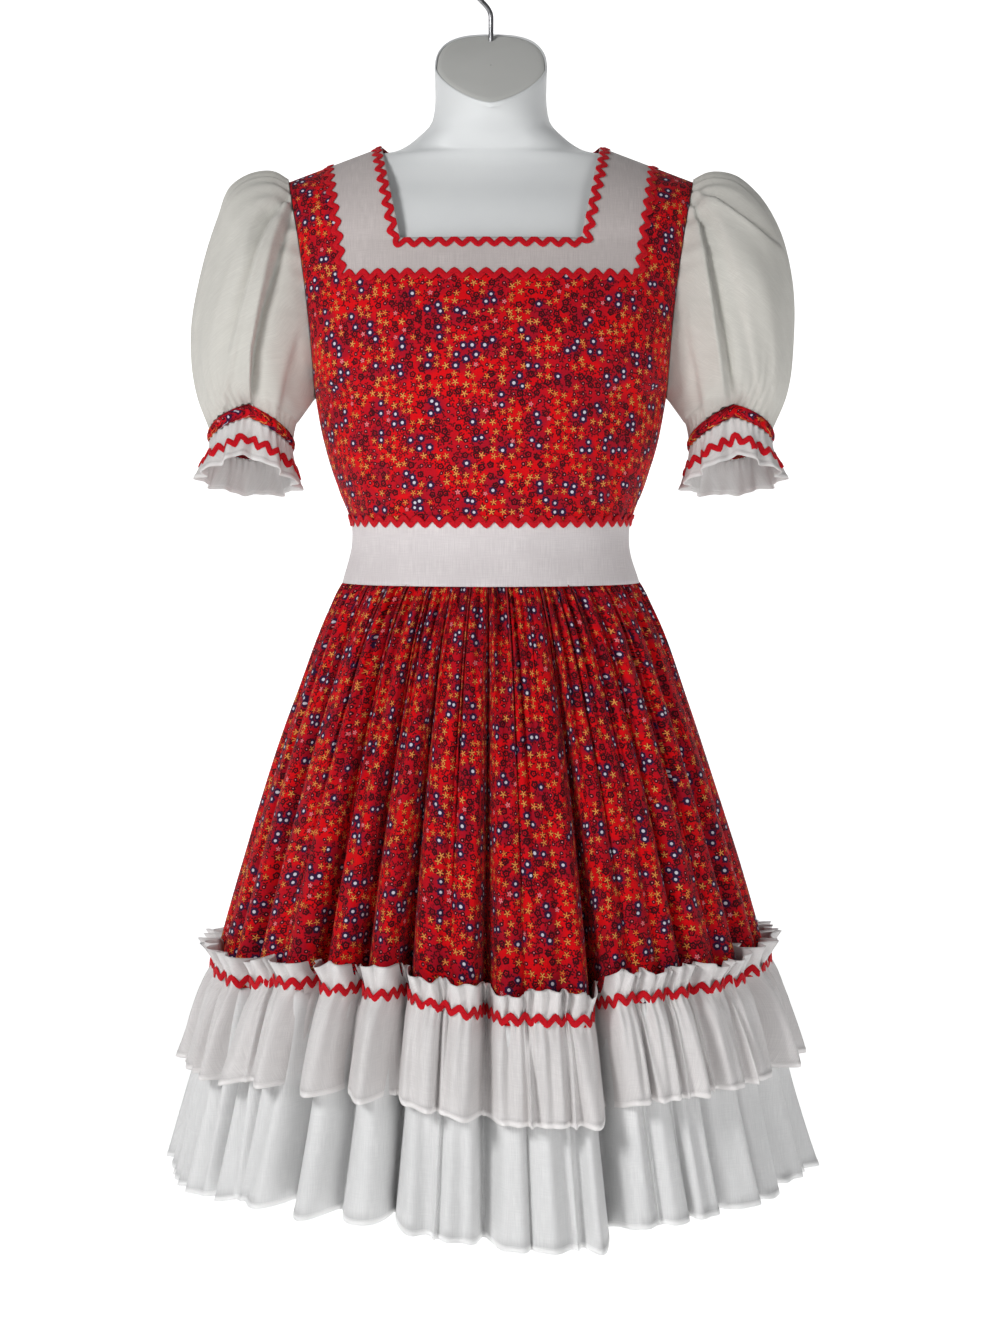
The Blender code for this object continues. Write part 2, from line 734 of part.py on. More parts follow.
def sleeve_rows():
    """Rows of the right sleeve from the armhole to the cuff."""
    return [armhole_ring(SLEEVE_COLUMNS)] + [sleeve_ring(r, SLEEVE_COLUMNS) for r in SLEEVE]


def cuff_trim_rows(rows):
    """Two edges of the rickrack round a cuff's ruffle."""
    top, low = rows[1], rows[2]
    count = len(top)
    edges = []
    for side in (1, -1):
        ring = []
        for i in range(count):
            for half_step in (0, 1):
                j = (i + half_step) % count
                above = (top[i] + top[j]) / 2
                below = (low[i] + low[j]) / 2
                drop = (above - below).length
                rise = RICK_RISE * (-1 if half_step else 1) + side * RICK_WIDTH / 2
                ring.append(above.lerp(below, CUFF_TRIM_SHARE - rise / drop))
        edges.append(ring)
    centre = sum(edges[0], Vector()) / len(edges[0])
    return [[p + out_of(p, centre) * CUFF_LAY for p in ring] for ring in edges]


def out_of(point, centre):
    """The level direction from a centre to a point."""
    away = Vector((point.x - centre.x, point.y - centre.y, 0))
    return away.normalized()


# Rickrack on the bodice


def surface_of(objects):
    """The outer faces of some panels, to lay a trim on."""
    points, faces = [], []
    for obj in objects:
        start = len(points)
        points += [v.co.copy() for v in obj.data.vertices]
        faces += [[start + i for i in face.vertices] for face in obj.data.polygons]
    return BVHTree.FromPolygons(points, faces)


def laid_zigzag(path, surface, outward):
    """Two edges of a rickrack whose middle follows a path over a surface."""
    lengths = [0.0]
    for a, b in zip(path, path[1:]):
        lengths.append(lengths[-1] + (b - a).length)
    waves = round(lengths[-1] / RICK_PITCH)
    edges = ([], [])
    for k in range(2 * waves + 1):
        along = lengths[-1] * k / (2 * waves)
        i = max(j for j in range(len(path) - 1) if lengths[j] <= along + 1e-9)
        share = (along - lengths[i]) / (lengths[i + 1] - lengths[i])
        middle = path[i].lerp(path[i + 1], share)
        run = (path[min(i + 1, len(path) - 1)] - path[i]).normalized()
        across = outward(middle).cross(run).normalized()
        for edge, side in zip(edges, (1, -1)):
            rise = RICK_RISE * (1 if k % 2 else -1) + side * RICK_WIDTH / 2
            spot, normal, _, _ = surface.find_nearest(middle + across * rise)
            edge.append(spot + normal * LAY)
    return edges


def neck_path(rows, columns, bottom_row, inset):
    """Down one side of the yoke, across and up the other, along grid lines of the front."""
    left, right = columns
    down = [rows[r][left] for r in range(bottom_row + 1)]
    across = [rows[bottom_row][c] for c in range(left + 1, right)]
    up = [rows[r][right] for r in range(bottom_row, -1, -1)]
    shift = Vector((0, 0, -inset))
    path = [p + Vector((-inset, 0, 0)) for p in down]
    path[-1] += shift
    path += [p + shift for p in across]
    path += [p + Vector((inset, 0, 0)) + (shift if i == 0 else Vector()) for i, p in enumerate(up)]
    path[0] = path[0].lerp(path[1], SHOULDER_STOP)
    path[-1] = path[-1].lerp(path[-2], SHOULDER_STOP)
    return path


def waist_path():
    """Round the top of the waistband, from one side of the zip to the other."""
    girth = between(BODICE, "height", BAND_TOP)
    start = math.asin((SLIT + SEAM) / girth.half_width)
    count = WAIST_TRIM_POINTS
    path = []
    for i in range(count + 1):
        angle = -math.pi + start + (2 * math.pi - 2 * start) * i / count
        depth = girth.front if abs(angle) < math.pi / 2 else girth.back
        path.append(
            Vector((girth.half_width * math.sin(angle), -depth * math.cos(angle), BAND_TOP))
        )
    return path


# Torso form and hook


def form_ring(section, scale=1.0, lift=0.0):
    """One ring of the form, from its front towards +X."""
    points = []
    for i in range(FORM_COLUMNS):
        angle = 2 * math.pi * i / FORM_COLUMNS
        sine, cosine = math.sin(angle), math.cos(angle)
        depth = section.front if cosine > 0 else section.back
        power = 2 / section.squareness
        x = section.half_width * math.copysign(abs(sine) ** power, sine) * scale
        y = -depth * math.copysign(abs(cosine) ** power, cosine) * scale
        points.append(
            Vector((x, y + section.shift, section.height + section.lean * y + lift))
        )
    return points


def make_form(parent, material):
    """The smooth torso: one closed loft with a flat foot and a sloping top to its neck."""
    rings = [form_ring(section) for section in FORM]
    rings.append(form_ring(FORM[-1], CAP_INSET, CAP_LIFT))
    mesh = bmesh.new()
    points = [[mesh.verts.new(p) for p in ring] for ring in rings]
    for low, high in zip(points, points[1:]):
        for c in range(FORM_COLUMNS):
            d = (c + 1) % FORM_COLUMNS
            mesh.faces.new((low[c], low[d], high[d], high[c]))
    mesh.faces.new(list(reversed(points[0])))
    mesh.faces.new(points[-1])
    data = bpy.data.meshes.new("torso_form")
    mesh.to_mesh(data)
    mesh.free()
    data.shade_smooth()
    return place(bpy.data.objects.new("torso_form", data), parent, material)


def cut_socket(form):
    """Cuts the hole that the hook's stem stands in."""
    radius = WIRE / 2 + SOCKET_PLAY
    depth = SOCKET_DEPTH + SOCKET_CLEAR
    bpy.ops.mesh.primitive_cylinder_add(vertices=12, radius=radius, depth=depth)
    cutter = bpy.context.active_object
    cutter.name = "socket_cutter"
    for collection in list(cutter.users_collection):
        collection.objects.unlink(cutter)
    bpy.data.collections["cutters"].objects.link(cutter)
    cutter.location = (0, 0, SOCKET_TOP - SOCKET_DEPTH + depth / 2)
    cutter.hide_render = True
    cutter.display_type = "WIRE"
    hole = form.modifiers.new("socket", "BOOLEAN")
    hole.operation = "DIFFERENCE"
    hole.object = cutter


def hook_path():
    """The wire's middle line: stem, a bend to -X, then round the rail to the free end."""
    bend = (RAIL_ROOM + WIRE) / 2
    centre = Vector((0, 0, -RAIL_ROOM / 2))
    path = [Vector((0, 0, SOCKET_TOP - SOCKET_DEPTH + SOCKET_PLAY))]
    start = Vector((0, 0, STEM_BEND))
    a = math.radians(HOOK_START)
    finish = centre + Vector((math.cos(a), 0, math.sin(a))) * bend
    first = start + Vector((0, 0, BEND_LEAD))
    second = finish - Vector((math.sin(a), 0, -math.cos(a))) * BEND_LEAD
    for i in range(BEND_STEPS):
        t = i / BEND_STEPS
        path.append(
            start * (1 - t) ** 3
            + first * 3 * t * (1 - t) ** 2
            + second * 3 * t**2 * (1 - t)
            + finish * t**3
        )
    for i in range(CROOK_STEPS + 1):
        a = math.radians(HOOK_START + (HOOK_END - HOOK_START) * i / CROOK_STEPS)
        path.append(centre + Vector((math.cos(a), 0, math.sin(a))) * bend)
    return path


def make_hook(material):
    """The wire hook, a bevelled curve with filled caps."""
    curve = bpy.data.curves.new("hook", "CURVE")
    curve.dimensions = "3D"
    curve.bevel_depth = WIRE / 2
    curve.bevel_resolution = 2
    curve.use_fill_caps = True
    path = hook_path()
    spline = curve.splines.new("POLY")
    spline.points.add(len(path) - 1)
    for point, place_at in zip(spline.points, path):
        point.co = (*place_at, 1.0)
    obj = bpy.data.objects.new("hook", curve)
    bpy.data.collections["prairie_dress"].objects.link(obj)
    curve.materials.append(material)


# Back zip


def back_centre(height):
    """How far the middle of the back stands behind the shoulder line at this height."""
    if height >= BACK_SHOULDER_BASE:
        climb = (height - BACK_SHOULDER_BASE) / (BACK_NECK[1] - BACK_SHOULDER_BASE)
        return back_shoulder_point(ZIP_SHARE, min(climb, 1.0)).y
    if height >= BAND_BOTTOM:
        return between(BODICE, "height", height).back
    drop = BAND_BOTTOM - SEAM - height
    return between(SKIRT, "drop", drop).half_depth


def zip_rows():
    """The closed zip from the neck's edge to the foot of the skirt's slit."""
    heights = [ZIP_TOP, -0.2400, -0.2700, BACK_SHOULDER_BASE, *reversed(BACK_LOW[:-1])]
    heights += [BAND_TOP, BAND_MIDDLE, BAND_BOTTOM, -0.6204, -0.6600]
    heights.append(BAND_BOTTOM - SKIRT[SLIT_ROW].drop)
    rows = []
    for height in heights:
        out = back_centre(height) - ZIP_SINK
        rows.append([Vector((side * ZIP_HALF, out, height)) for side in (1, -1)])
    rows[-1] = [p + Vector((0, 0, ZIP_FOOT_GAP)) for p in rows[-1]]
    return rows


def back_slope(height):
    """How the back leans at this height, as an angle from upright."""
    step = 0.004
    return math.atan2(back_centre(height - step) - back_centre(height + step), 2 * step)


def slider_frame():
    """An empty on the zip where the slider stands: its Y axis points off the back."""
    height = ZIP_TOP - SLIDER_DROP - SLIDER[2] / 2
    lean = back_slope(height)
    frame = bpy.data.objects.new("slider_frame", None)
    bpy.data.collections["prairie_dress"].objects.link(frame)
    frame.location = (0, back_centre(height), height)
    frame.rotation_euler = (lean, 0, 0)
    return frame


def box(name, size, centre):
    """A plain box as a mesh object."""
    bpy.ops.mesh.primitive_cube_add(size=1.0)
    obj = bpy.context.active_object
    obj.name = name
    for vertex in obj.data.vertices:
        vertex.co = Vector(
            (vertex.co.x * size[0], vertex.co.y * size[1], vertex.co.z * size[2])
        ) + Vector(centre)
    for collection in list(obj.users_collection):
        collection.objects.unlink(obj)
    return obj


# The slider's own frame: X along the hinge, Y off the back, Z up the zip
SLIDER_BACK = 0.0003
SLIDER_EDGE = 0.0006
BRIDGE_ROOM = PULL_BAR + 2 * PULL_PLAY
BRIDGE_TOP = SLIDER_BACK + SLIDER[1] + BRIDGE_ROOM + BRIDGE_BAR
BRIDGE_SINK = 0.0008
PIVOT = (SLIDER_BACK + SLIDER[1] + BRIDGE_ROOM / 2, -0.0022)
PULL_EYE = (0.0032, 0.0040, 0.0031)
PULL_EDGE = 0.0003


def make_slider(frame, material):
    """The slider's body with the bridge that carries its pull tab."""
    body = box("zip_slider", SLIDER, (0, SLIDER_BACK + SLIDER[1] / 2, 0))
    place(body, frame, material)
    rounded = body.modifiers.new("rounded", "BEVEL")
    rounded.width = SLIDER_EDGE
    rounded.segments = 1
    leg_low = PIVOT[1] - PULL_BAR / 2 - PULL_PLAY - BRIDGE_BAR
    leg_high = -PIVOT[1] + BRIDGE_BAR
    foot = SLIDER_BACK + SLIDER[1] - BRIDGE_SINK
    outer = box(
        "bridge",
        (BRIDGE_WIDTH, BRIDGE_TOP - foot, leg_high - leg_low),
        (0, (BRIDGE_TOP + foot) / 2, (leg_high + leg_low) / 2),
    )
    room = box(
        "bridge_room",
        (BRIDGE_WIDTH * 2, BRIDGE_ROOM, leg_high - leg_low - 2 * BRIDGE_BAR),
        (0, SLIDER_BACK + SLIDER[1] + BRIDGE_ROOM / 2, (leg_high + leg_low) / 2),
    )
    for helper in (outer, room):
        bpy.data.collections["cutters"].objects.link(helper)
        helper.parent = frame
        helper.hide_render = True
        helper.display_type = "WIRE"
    join = body.modifiers.new("bridge", "BOOLEAN")
    join.operation = "UNION"
    join.object = outer
    cut = body.modifiers.new("bridge_room", "BOOLEAN")
    cut.operation = "DIFFERENCE"
    cut.object = room
    return body


def make_pull(frame, material):
    """The pull tab, hung by the bar at its top, with its origin on the hinge's axis."""
    plate = box("zip_pull", (PULL_WIDTH, PULL_BAR, PULL_LENGTH), (0, 0, -PULL_LENGTH / 2))
    for vertex in plate.data.vertices:
        vertex.co.z += PULL_BAR / 2
    place(plate, frame, material)
    plate.location = (0, PIVOT[0], PIVOT[1])
    window = box("pull_window", PULL_EYE, (0, 0, -(PULL_BAR + PULL_EYE[2]) / 2))
    bpy.data.collections["cutters"].objects.link(window)
    window.parent = plate
    window.hide_render = True
    window.display_type = "WIRE"
    cut = plate.modifiers.new("window", "BOOLEAN")
    cut.operation = "DIFFERENCE"
    cut.object = window
    rounded = plate.modifiers.new("rounded", "BEVEL")
    rounded.width = PULL_EDGE
    rounded.segments = 1
    return plate


def clear_scene():
    """Removes the startup objects and makes the two collections."""
    for obj in list(bpy.data.objects):
        bpy.data.objects.remove(obj)
    for name in ("prairie_dress", "cutters"):
        collection = bpy.data.collections.new(name)
        bpy.context.scene.collection.children.link(collection)


def build():
    """Makes every piece of the dress, its form and its hook."""
    clear_scene()
    made = make_materials()
    body = bpy.data.objects.new("shoulder_line", None)
    bpy.data.collections["prairie_dress"].objects.link(body)
    body.location = (0, SHOULDER_Y, 0)

    front = front_rows()
    bodice_front = cloth("bodice_front", front, body, made["print"], keep=print_cell)
    yoke = cloth("yoke", front, body, made["white_cotton"], keep=yoke_cell)
    back = back_rows()
    left = cloth("bodice_back_left", back, body, made["print"])
    right = cloth("bodice_back_right", mirrored(back), body, made["print"])
    waistband = cloth("waistband", waistband_rows(), body, made["white_cotton"])

    skirt_front, skirt_back = skirt_rows()
    cloth("skirt_front", skirt_front, body, made["print"])
    cloth("skirt_back", skirt_back, body, made["print"], keep=skirt_back_cell)
    upper_front, upper_back = upper_ruffle_rows()
    for name, rows in (("front", upper_front), ("back", upper_back)):
        cloth("upper_ruffle_" + name, rows, body, made["white_cotton"])
    lower_front, lower_back = lower_ruffle_rows()
    for name, rows in (("front", lower_front), ("back", lower_back)):
        cloth("lower_ruffle_" + name, rows, body, made["white_cotton"])
    cloth(
        "ruffle_rickrack",
        ruffle_trim_rows(),
        body,
        made["rickrack"],
        thick=TRIM_THICK,
        outward=True,
        closed=True,
    )

    sleeve = sleeve_rows()
    band = [sleeve_ring(r, CUFF_COLUMNS) for r in CUFF_BAND]
    ruffle = [sleeve_ring(r, CUFF_COLUMNS) for r in CUFF_RUFFLE]
    trim = cuff_trim_rows(ruffle)
    pieces = (
        ("sleeve", sleeve, "sleeve_cotton", CLOTH, False),
        ("cuff_band", band, "print", CLOTH, False),
        ("cuff_ruffle", ruffle, "white_cotton", CLOTH, False),
        ("cuff_rickrack", trim, "rickrack", TRIM_THICK, True),
    )
    for name, rows, finish, thick, outward in pieces:
        for side, placed in (("right", rows), ("left", mirrored(rows))):
            cloth(name + "_" + side, placed, body, made[finish], thick, outward, closed=True)

    chest = surface_of([bodice_front, yoke])
    neck = neck_path(front, NECK_COLUMNS, BIB_ROW, NECK_TRIM_INSET)
    edge = neck_path(front, YOKE_COLUMNS, BIB_ROW + 1, 0.0)
    waist = surface_of([bodice_front, left, right, waistband])
    axis = Vector((0, 0, 0))
    trims = (
        ("neck_rickrack", neck, chest),
        ("yoke_rickrack", edge, chest),
        ("waist_rickrack", waist_path(), waist),
    )
    for name, path, surface in trims:
        rows = laid_zigzag(path, surface, lambda p: out_of(p, axis))
        cloth(name, rows, body, made["rickrack"], thick=TRIM_THICK, outward=True)

    cloth("zip_strip", zip_rows(), body, made["zip_tape"])
    frame = slider_frame()
    frame.parent = body
    make_slider(frame, made["zip_metal"])
    make_pull(frame, made["zip_metal"])

    form = make_form(body, made["form_plastic"])
    cut_socket(form)
    make_hook(made["hook_wire"])


build()
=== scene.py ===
import math

import bpy
import numpy as np
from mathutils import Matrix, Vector
from mathutils.bvhtree import BVHTree


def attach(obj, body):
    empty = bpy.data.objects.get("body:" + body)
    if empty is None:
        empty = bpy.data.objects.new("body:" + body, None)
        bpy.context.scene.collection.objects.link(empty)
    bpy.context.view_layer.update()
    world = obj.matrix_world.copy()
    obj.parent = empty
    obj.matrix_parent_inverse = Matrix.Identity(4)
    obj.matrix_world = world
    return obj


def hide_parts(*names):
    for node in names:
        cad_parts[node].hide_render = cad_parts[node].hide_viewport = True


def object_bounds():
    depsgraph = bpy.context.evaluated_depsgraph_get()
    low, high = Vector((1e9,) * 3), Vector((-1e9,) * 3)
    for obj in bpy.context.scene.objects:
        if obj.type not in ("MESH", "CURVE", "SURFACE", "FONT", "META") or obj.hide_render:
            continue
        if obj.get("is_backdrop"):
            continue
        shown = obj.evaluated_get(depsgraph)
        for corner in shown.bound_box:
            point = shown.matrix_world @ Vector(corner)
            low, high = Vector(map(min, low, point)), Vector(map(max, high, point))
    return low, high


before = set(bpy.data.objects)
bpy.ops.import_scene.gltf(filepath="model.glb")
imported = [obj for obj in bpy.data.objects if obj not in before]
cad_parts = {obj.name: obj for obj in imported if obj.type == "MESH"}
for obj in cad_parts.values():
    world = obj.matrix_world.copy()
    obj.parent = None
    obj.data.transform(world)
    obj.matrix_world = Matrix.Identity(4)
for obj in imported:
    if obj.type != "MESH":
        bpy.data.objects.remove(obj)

solid_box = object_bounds()

# Body form: one hollow moulding of matt white plastic, without head, arms or legs. A grey
# cap closes the slanting cut at the top of its neck. The dress is pulled over it and rests
# on it.

SHOULDER_LINE = np.array([0.0, -0.018, 0.0])  # the dress and the form hang from this line

# Height, half width, front, back, squareness, shift to the back and lean of each section
FORM_SECTIONS = np.array([
    (-0.7900, 0.1380, 0.0870, 0.0930, 2.2, 0.000, 0.00),
    (-0.7860, 0.1440, 0.0920, 0.0980, 2.2, 0.000, 0.00),
    (-0.7780, 0.1462, 0.0940, 0.1000, 2.2, 0.000, 0.00),
    (-0.7000, 0.1500, 0.0960, 0.1040, 2.2, 0.000, 0.00),
    (-0.6300, 0.1380, 0.0940, 0.0960, 2.1, 0.000, 0.00),
    (-0.5560, 0.1180, 0.0860, 0.0850, 2.0, 0.000, 0.00),
    (-0.5000, 0.1260, 0.0920, 0.0830, 2.0, 0.000, 0.00),
    (-0.4400, 0.1440, 0.1080, 0.0900, 2.1, 0.000, 0.00),
    (-0.3800, 0.1560, 0.1180, 0.0960, 2.2, 0.000, 0.00),
    (-0.3200, 0.1620, 0.1080, 0.0950, 2.2, 0.000, 0.00),
    (-0.2700, 0.1670, 0.0880, 0.0860, 2.2, 0.000, 0.00),
    (-0.2350, 0.1690, 0.0700, 0.0720, 2.1, 0.000, 0.00),
    (-0.2190, 0.1670, 0.0580, 0.0600, 2.0, 0.000, 0.00),
    (-0.2075, 0.1600, 0.0510, 0.0500, 2.0, 0.000, 0.00),
    (-0.2005, 0.1450, 0.0478, 0.0455, 2.0, 0.000, 0.00),
    (-0.1921, 0.1220, 0.0457, 0.0425, 2.0, 0.000, 0.00),
    (-0.1834, 0.0840, 0.0458, 0.0430, 2.0, 0.000, 0.02),
    (-0.1710, 0.0665, 0.0455, 0.0490, 2.0, -0.004, 0.10),
    (-0.1600, 0.0560, 0.0460, 0.0500, 2.0, -0.008, 0.20),
    (-0.1450, 0.0525, 0.0460, 0.0490, 2.1, -0.013, 0.38),
    (-0.1260, 0.0522, 0.0470, 0.0480, 2.2, -0.018, 0.60),
    (-0.1110, 0.0527, 0.0490, 0.0500, 2.3, -0.021, 0.80),
])


def faired(stations, values, at):
    """Values anywhere along a run of stations, on a smooth curve through them."""
    stations, values, at = (np.asarray(a, float) for a in (stations, values, at))
    slopes = np.gradient(values, stations, axis=0)
    i = np.clip(np.searchsorted(stations, at, side="right") - 1, 0, len(stations) - 2)
    width = stations[i + 1] - stations[i]
    t = np.clip((at - stations[i]) / width, 0.0, 1.0)
    if values.ndim > 1:
        width, t = width[..., None], t[..., None]
    a, b, m, n = values[i], values[i + 1], slopes[i] * width, slopes[i + 1] * width
    return a + t * (m + t * (3 * (b - a) - 2 * m - n + t * (2 * (a - b) + m + n)))


def run_along(line):
    """How far along a line each of its points lies."""
    return np.concatenate([[0.0], np.cumsum(np.linalg.norm(np.diff(line, axis=0), axis=1))])


def woven_mesh(name, points, flat, keep=None, closed=False):
    """A mesh through a grid of points, rows from the top down, outside facing out.

    flat holds each point's place on the flat cloth in metres, one column more if closed.
    """
    rows, columns = points.shape[:2]
    last = columns if closed else columns - 1
    r, c = np.meshgrid(np.arange(rows - 1), np.arange(last), indexing="ij")
    chosen = np.ones_like(r, bool) if keep is None else keep[: rows - 1, :last]
    r, c = r[chosen], c[chosen]
    d = (c + 1) % columns
    corners = np.stack(
        [r * columns + c, (r + 1) * columns + c, (r + 1) * columns + d, r * columns + d], 1
    )
    used, corners = np.unique(corners, return_inverse=True)
    corners = corners.reshape(-1, 4)
    spots = (points.reshape(-1, 3) + SHOULDER_LINE)[used]
    mesh = bpy.data.meshes.new(name)
    mesh.from_pydata(spots.tolist(), [], corners.tolist())
    cloth = mesh.uv_layers.new(name="cloth")
    places = np.stack([flat[r, c], flat[r + 1, c], flat[r + 1, c + 1], flat[r, c + 1]], 1)
    cloth.data.foreach_set("uv", places.astype(np.float32).ravel())
    mesh.shade_smooth()
    mesh.update()
    return mesh


def shown(name, mesh, *materials):
    """An object of this mesh in the scene, with its materials."""
    piece = bpy.data.objects.new(name, mesh)
    bpy.context.scene.collection.objects.link(piece)
    for material in materials:
        mesh.materials.append(material)
    return piece


def stands_for(piece, node):
    """Puts a finished piece in the place of a solid of the dress, and hangs it on the dress's body."""
    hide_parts(node)
    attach(piece, "dress")
    return piece


def fed(tree, kind, *feeds, **settings):
    """One shader node: its settings, and a value or another node's output for each input."""
    made = tree.nodes.new(kind)
    for setting, value in settings.items():
        setattr(made, setting, value)
    for socket, feed in zip(made.inputs, feeds):
        if isinstance(feed, bpy.types.NodeSocket):
            tree.links.new(feed, socket)
        elif feed is not None:
            socket.default_value = feed
    return made


def tree_of(*feeds):
    """The shader tree that these feeds belong to."""
    return next(feed.id_data for feed in feeds if isinstance(feed, bpy.types.NodeSocket))


def number(operation, *feeds):
    """The result of one sum on numbers."""
    return fed(tree_of(*feeds), "ShaderNodeMath", *feeds, operation=operation).outputs[0]


def plus(a, b):
    """One number added to another."""
    return number("ADD", a, b)


def less(a, b):
    """One number taken from another."""
    return number("SUBTRACT", a, b)


def times(a, b):
    """One number multiplied by another."""
    return number("MULTIPLY", a, b)


def parts_of(vector):
    """The two or three numbers that a place or colour is made of."""
    return fed(vector.id_data, "ShaderNodeSeparateXYZ", vector).outputs


def eased(value, low, high, start=0.0, end=1.0):
    """start below low, end above high, and an even curve between."""
    ramp = fed(value.id_data, "ShaderNodeMapRange", value, interpolation_type="SMOOTHSTEP")
    ramp.inputs["From Min"].default_value = low
    ramp.inputs["From Max"].default_value = high
    ramp.inputs["To Min"].default_value = start
    ramp.inputs["To Max"].default_value = end
    return ramp.outputs[0]


def tinted(share, below, above):
    """One colour turning into another as share goes from 0 to 1."""
    # A colour mix has its share first and its two colours as the seventh and eighth inputs
    feeds = (share, None, None, None, None, None, below, above)
    mixed = fed(tree_of(share, below, above), "ShaderNodeMix", *feeds, data_type="RGBA")
    return mixed.outputs[2]


def in_piece(tree):
    """Places in the solid piece, in metres."""
    return tree.nodes.new("ShaderNodeTexCoord").outputs["Object"]


def grain(place, scale, detail=3.0, stretch=(1.0, 1.0, 1.0)):
    """Soft random grain at this scale, drawn out along an axis where stretch is small."""
    tree = place.id_data
    drawn = fed(tree, "ShaderNodeVectorMath", place, stretch, operation="MULTIPLY")
    cloud = fed(tree, "ShaderNodeTexNoise", drawn.outputs[0])
    cloud.inputs["Scale"].default_value = scale
    cloud.inputs["Detail"].default_value = detail
    return cloud.outputs[0]


def finish(name, roughness, sheen=0.0, gloss=0.5):
    """A new material: its tree, its shader and itself."""
    material = bpy.data.materials.new(name)
    material.use_nodes = True
    shader = material.node_tree.nodes["Principled BSDF"]
    shader.inputs["Roughness"].default_value = roughness
    shader.inputs["Sheen Weight"].default_value = sheen
    shader.inputs["Specular IOR Level"].default_value = gloss
    return material.node_tree, shader, material


def relief(shader, height, depth):
    """Raises the surface by a height between 0 and 1, times a depth in metres."""
    tree = shader.id_data
    bump = tree.nodes.new("ShaderNodeBump")
    bump.inputs["Distance"].default_value = depth
    tree.links.new(height, bump.inputs["Height"])
    tree.links.new(bump.outputs[0], shader.inputs["Normal"])


def moulded_plastic(name, colour, shade):
    """Matt moulded plastic with a faint mottle and the fine pebble of the mould."""
    tree, shader, material = finish(name, 0.42)
    place = in_piece(tree)
    mottle = grain(place, 9.0)
    tree.links.new(tinted(eased(mottle, 0.3, 0.7), colour, shade), shader.inputs[0])
    rough = eased(grain(place, 40.0), 0.3, 0.7, 0.38, 0.50)
    tree.links.new(rough, shader.inputs["Roughness"])
    relief(shader, grain(place, 900.0, 2.0), 0.00006)
    return material


# Near its cut the neck is drawn to a keel in front and is squarer behind
KEEL, SQUARE_NAPE = 0.80, 0.45
KEEL_FROM, KEEL_RUN = -0.150, 0.039


def form_ring_points(sections, columns, scale=1.0, lift=0.0):
    """Rings of the form, from its front towards the left as one looks at it."""
    height, half_width, front, back, square, shift, lean = sections.T[:, :, None]
    turn = -2 * np.pi * np.arange(columns) / columns
    sine, cosine = np.sin(turn)[None, :], np.cos(turn)[None, :]
    depth = np.where(cosine > 0, front, back)
    near_cut = np.clip((height - KEEL_FROM) / KEEL_RUN, 0.0, 1.0)
    square = square + np.where(cosine > 0, -KEEL, SQUARE_NAPE) * near_cut
    x = half_width * np.sign(sine) * np.abs(sine) ** (2 / square) * scale
    y = -depth * np.sign(cosine) * np.abs(cosine) ** (2 / square) * scale
    return np.stack([x, y + shift, height + lean * y + lift], axis=2)


def plain_flat(rings):
    """Places for a surface whose finish takes no notice of them."""
    return np.zeros((rings.shape[0], rings.shape[1] + 1, 2))


FORM_AROUND = 112
run = run_along(FORM_SECTIONS[:, :2])
smooth_sections = faired(run, FORM_SECTIONS, np.linspace(0.0, run[-1], 130))
top = smooth_sections[-1:]
foot = form_ring_points(smooth_sections[:1], FORM_AROUND, 0.02)
lip = [form_ring_points(top, FORM_AROUND, s, z) for s, z in ((0.985, 0.0012), (0.968, 0.0008))]
well = form_ring_points(top, FORM_AROUND, 0.962, -0.0040)
form_rings = np.concatenate(
    [foot, form_ring_points(smooth_sections, FORM_AROUND)] + lip + [well], axis=0
)[::-1]
form = shown(
    "body_form",
    woven_mesh("body_form", form_rings, plain_flat(form_rings), closed=True),
    moulded_plastic("white_moulding", (0.72, 0.735, 0.735, 1), (0.68, 0.695, 0.70, 1)),
)
CAP_RISE = ((0.958, -0.0036), (0.955, 0.0002), (0.94, 0.0012), (0.86, 0.0020), (0.6, 0.0030),
            (0.3, 0.0036), (0.01, 0.0038))
cap_rings = np.concatenate([form_ring_points(top, FORM_AROUND, s, z) for s, z in CAP_RISE])[::-1]
cap = shown(
    "neck_cap",
    woven_mesh("neck_cap", cap_rings, plain_flat(cap_rings), closed=True),
    moulded_plastic("grey_cap", (0.60, 0.60, 0.575, 1), (0.54, 0.54, 0.515, 1)),
)
for moulding in (form, cap):
    stands_for(moulding, "torso_form")

# Hook: one length of bright drawn steel wire that stands in a hole in the form's neck and
# is bent round to hang on a rail.

WIRE = 0.0048
RAIL_ROOM = 0.0380
STEM = (-0.1057, -0.0560)
BEND_FROM, BEND_TO = 215.0, -35.0


def hook_line():
    """The middle of the wire: the stem, an easy bend to one side, and the crook."""
    reach = (RAIL_ROOM + WIRE) / 2
    centre = np.array([0.0, 0.0, -RAIL_ROOM / 2])
    a = math.radians(BEND_FROM)
    start, end = np.array([0, 0, STEM[1]]), centre + reach * np.array([math.cos(a), 0, math.sin(a)])
    first = start + np.array([0, 0, 0.010])
    second = end - np.array([math.sin(a), 0, -math.cos(a)]) * 0.010
    t = np.linspace(0, 1, 16)[:-1, None]
    bend = start * (1 - t) ** 3 + first * 3 * t * (1 - t) ** 2 + second * 3 * t**2 * (1 - t)
    bend += end * t**3
    turn = np.radians(np.linspace(BEND_FROM, BEND_TO, 49))
    crook = centre + reach * np.stack([np.cos(turn), 0 * turn, np.sin(turn)], axis=1)
    stem = np.array([[0, 0, STEM[0]], [0, 0, -0.09], [0, 0, -0.07]])
    return np.concatenate([stem, bend, crook])


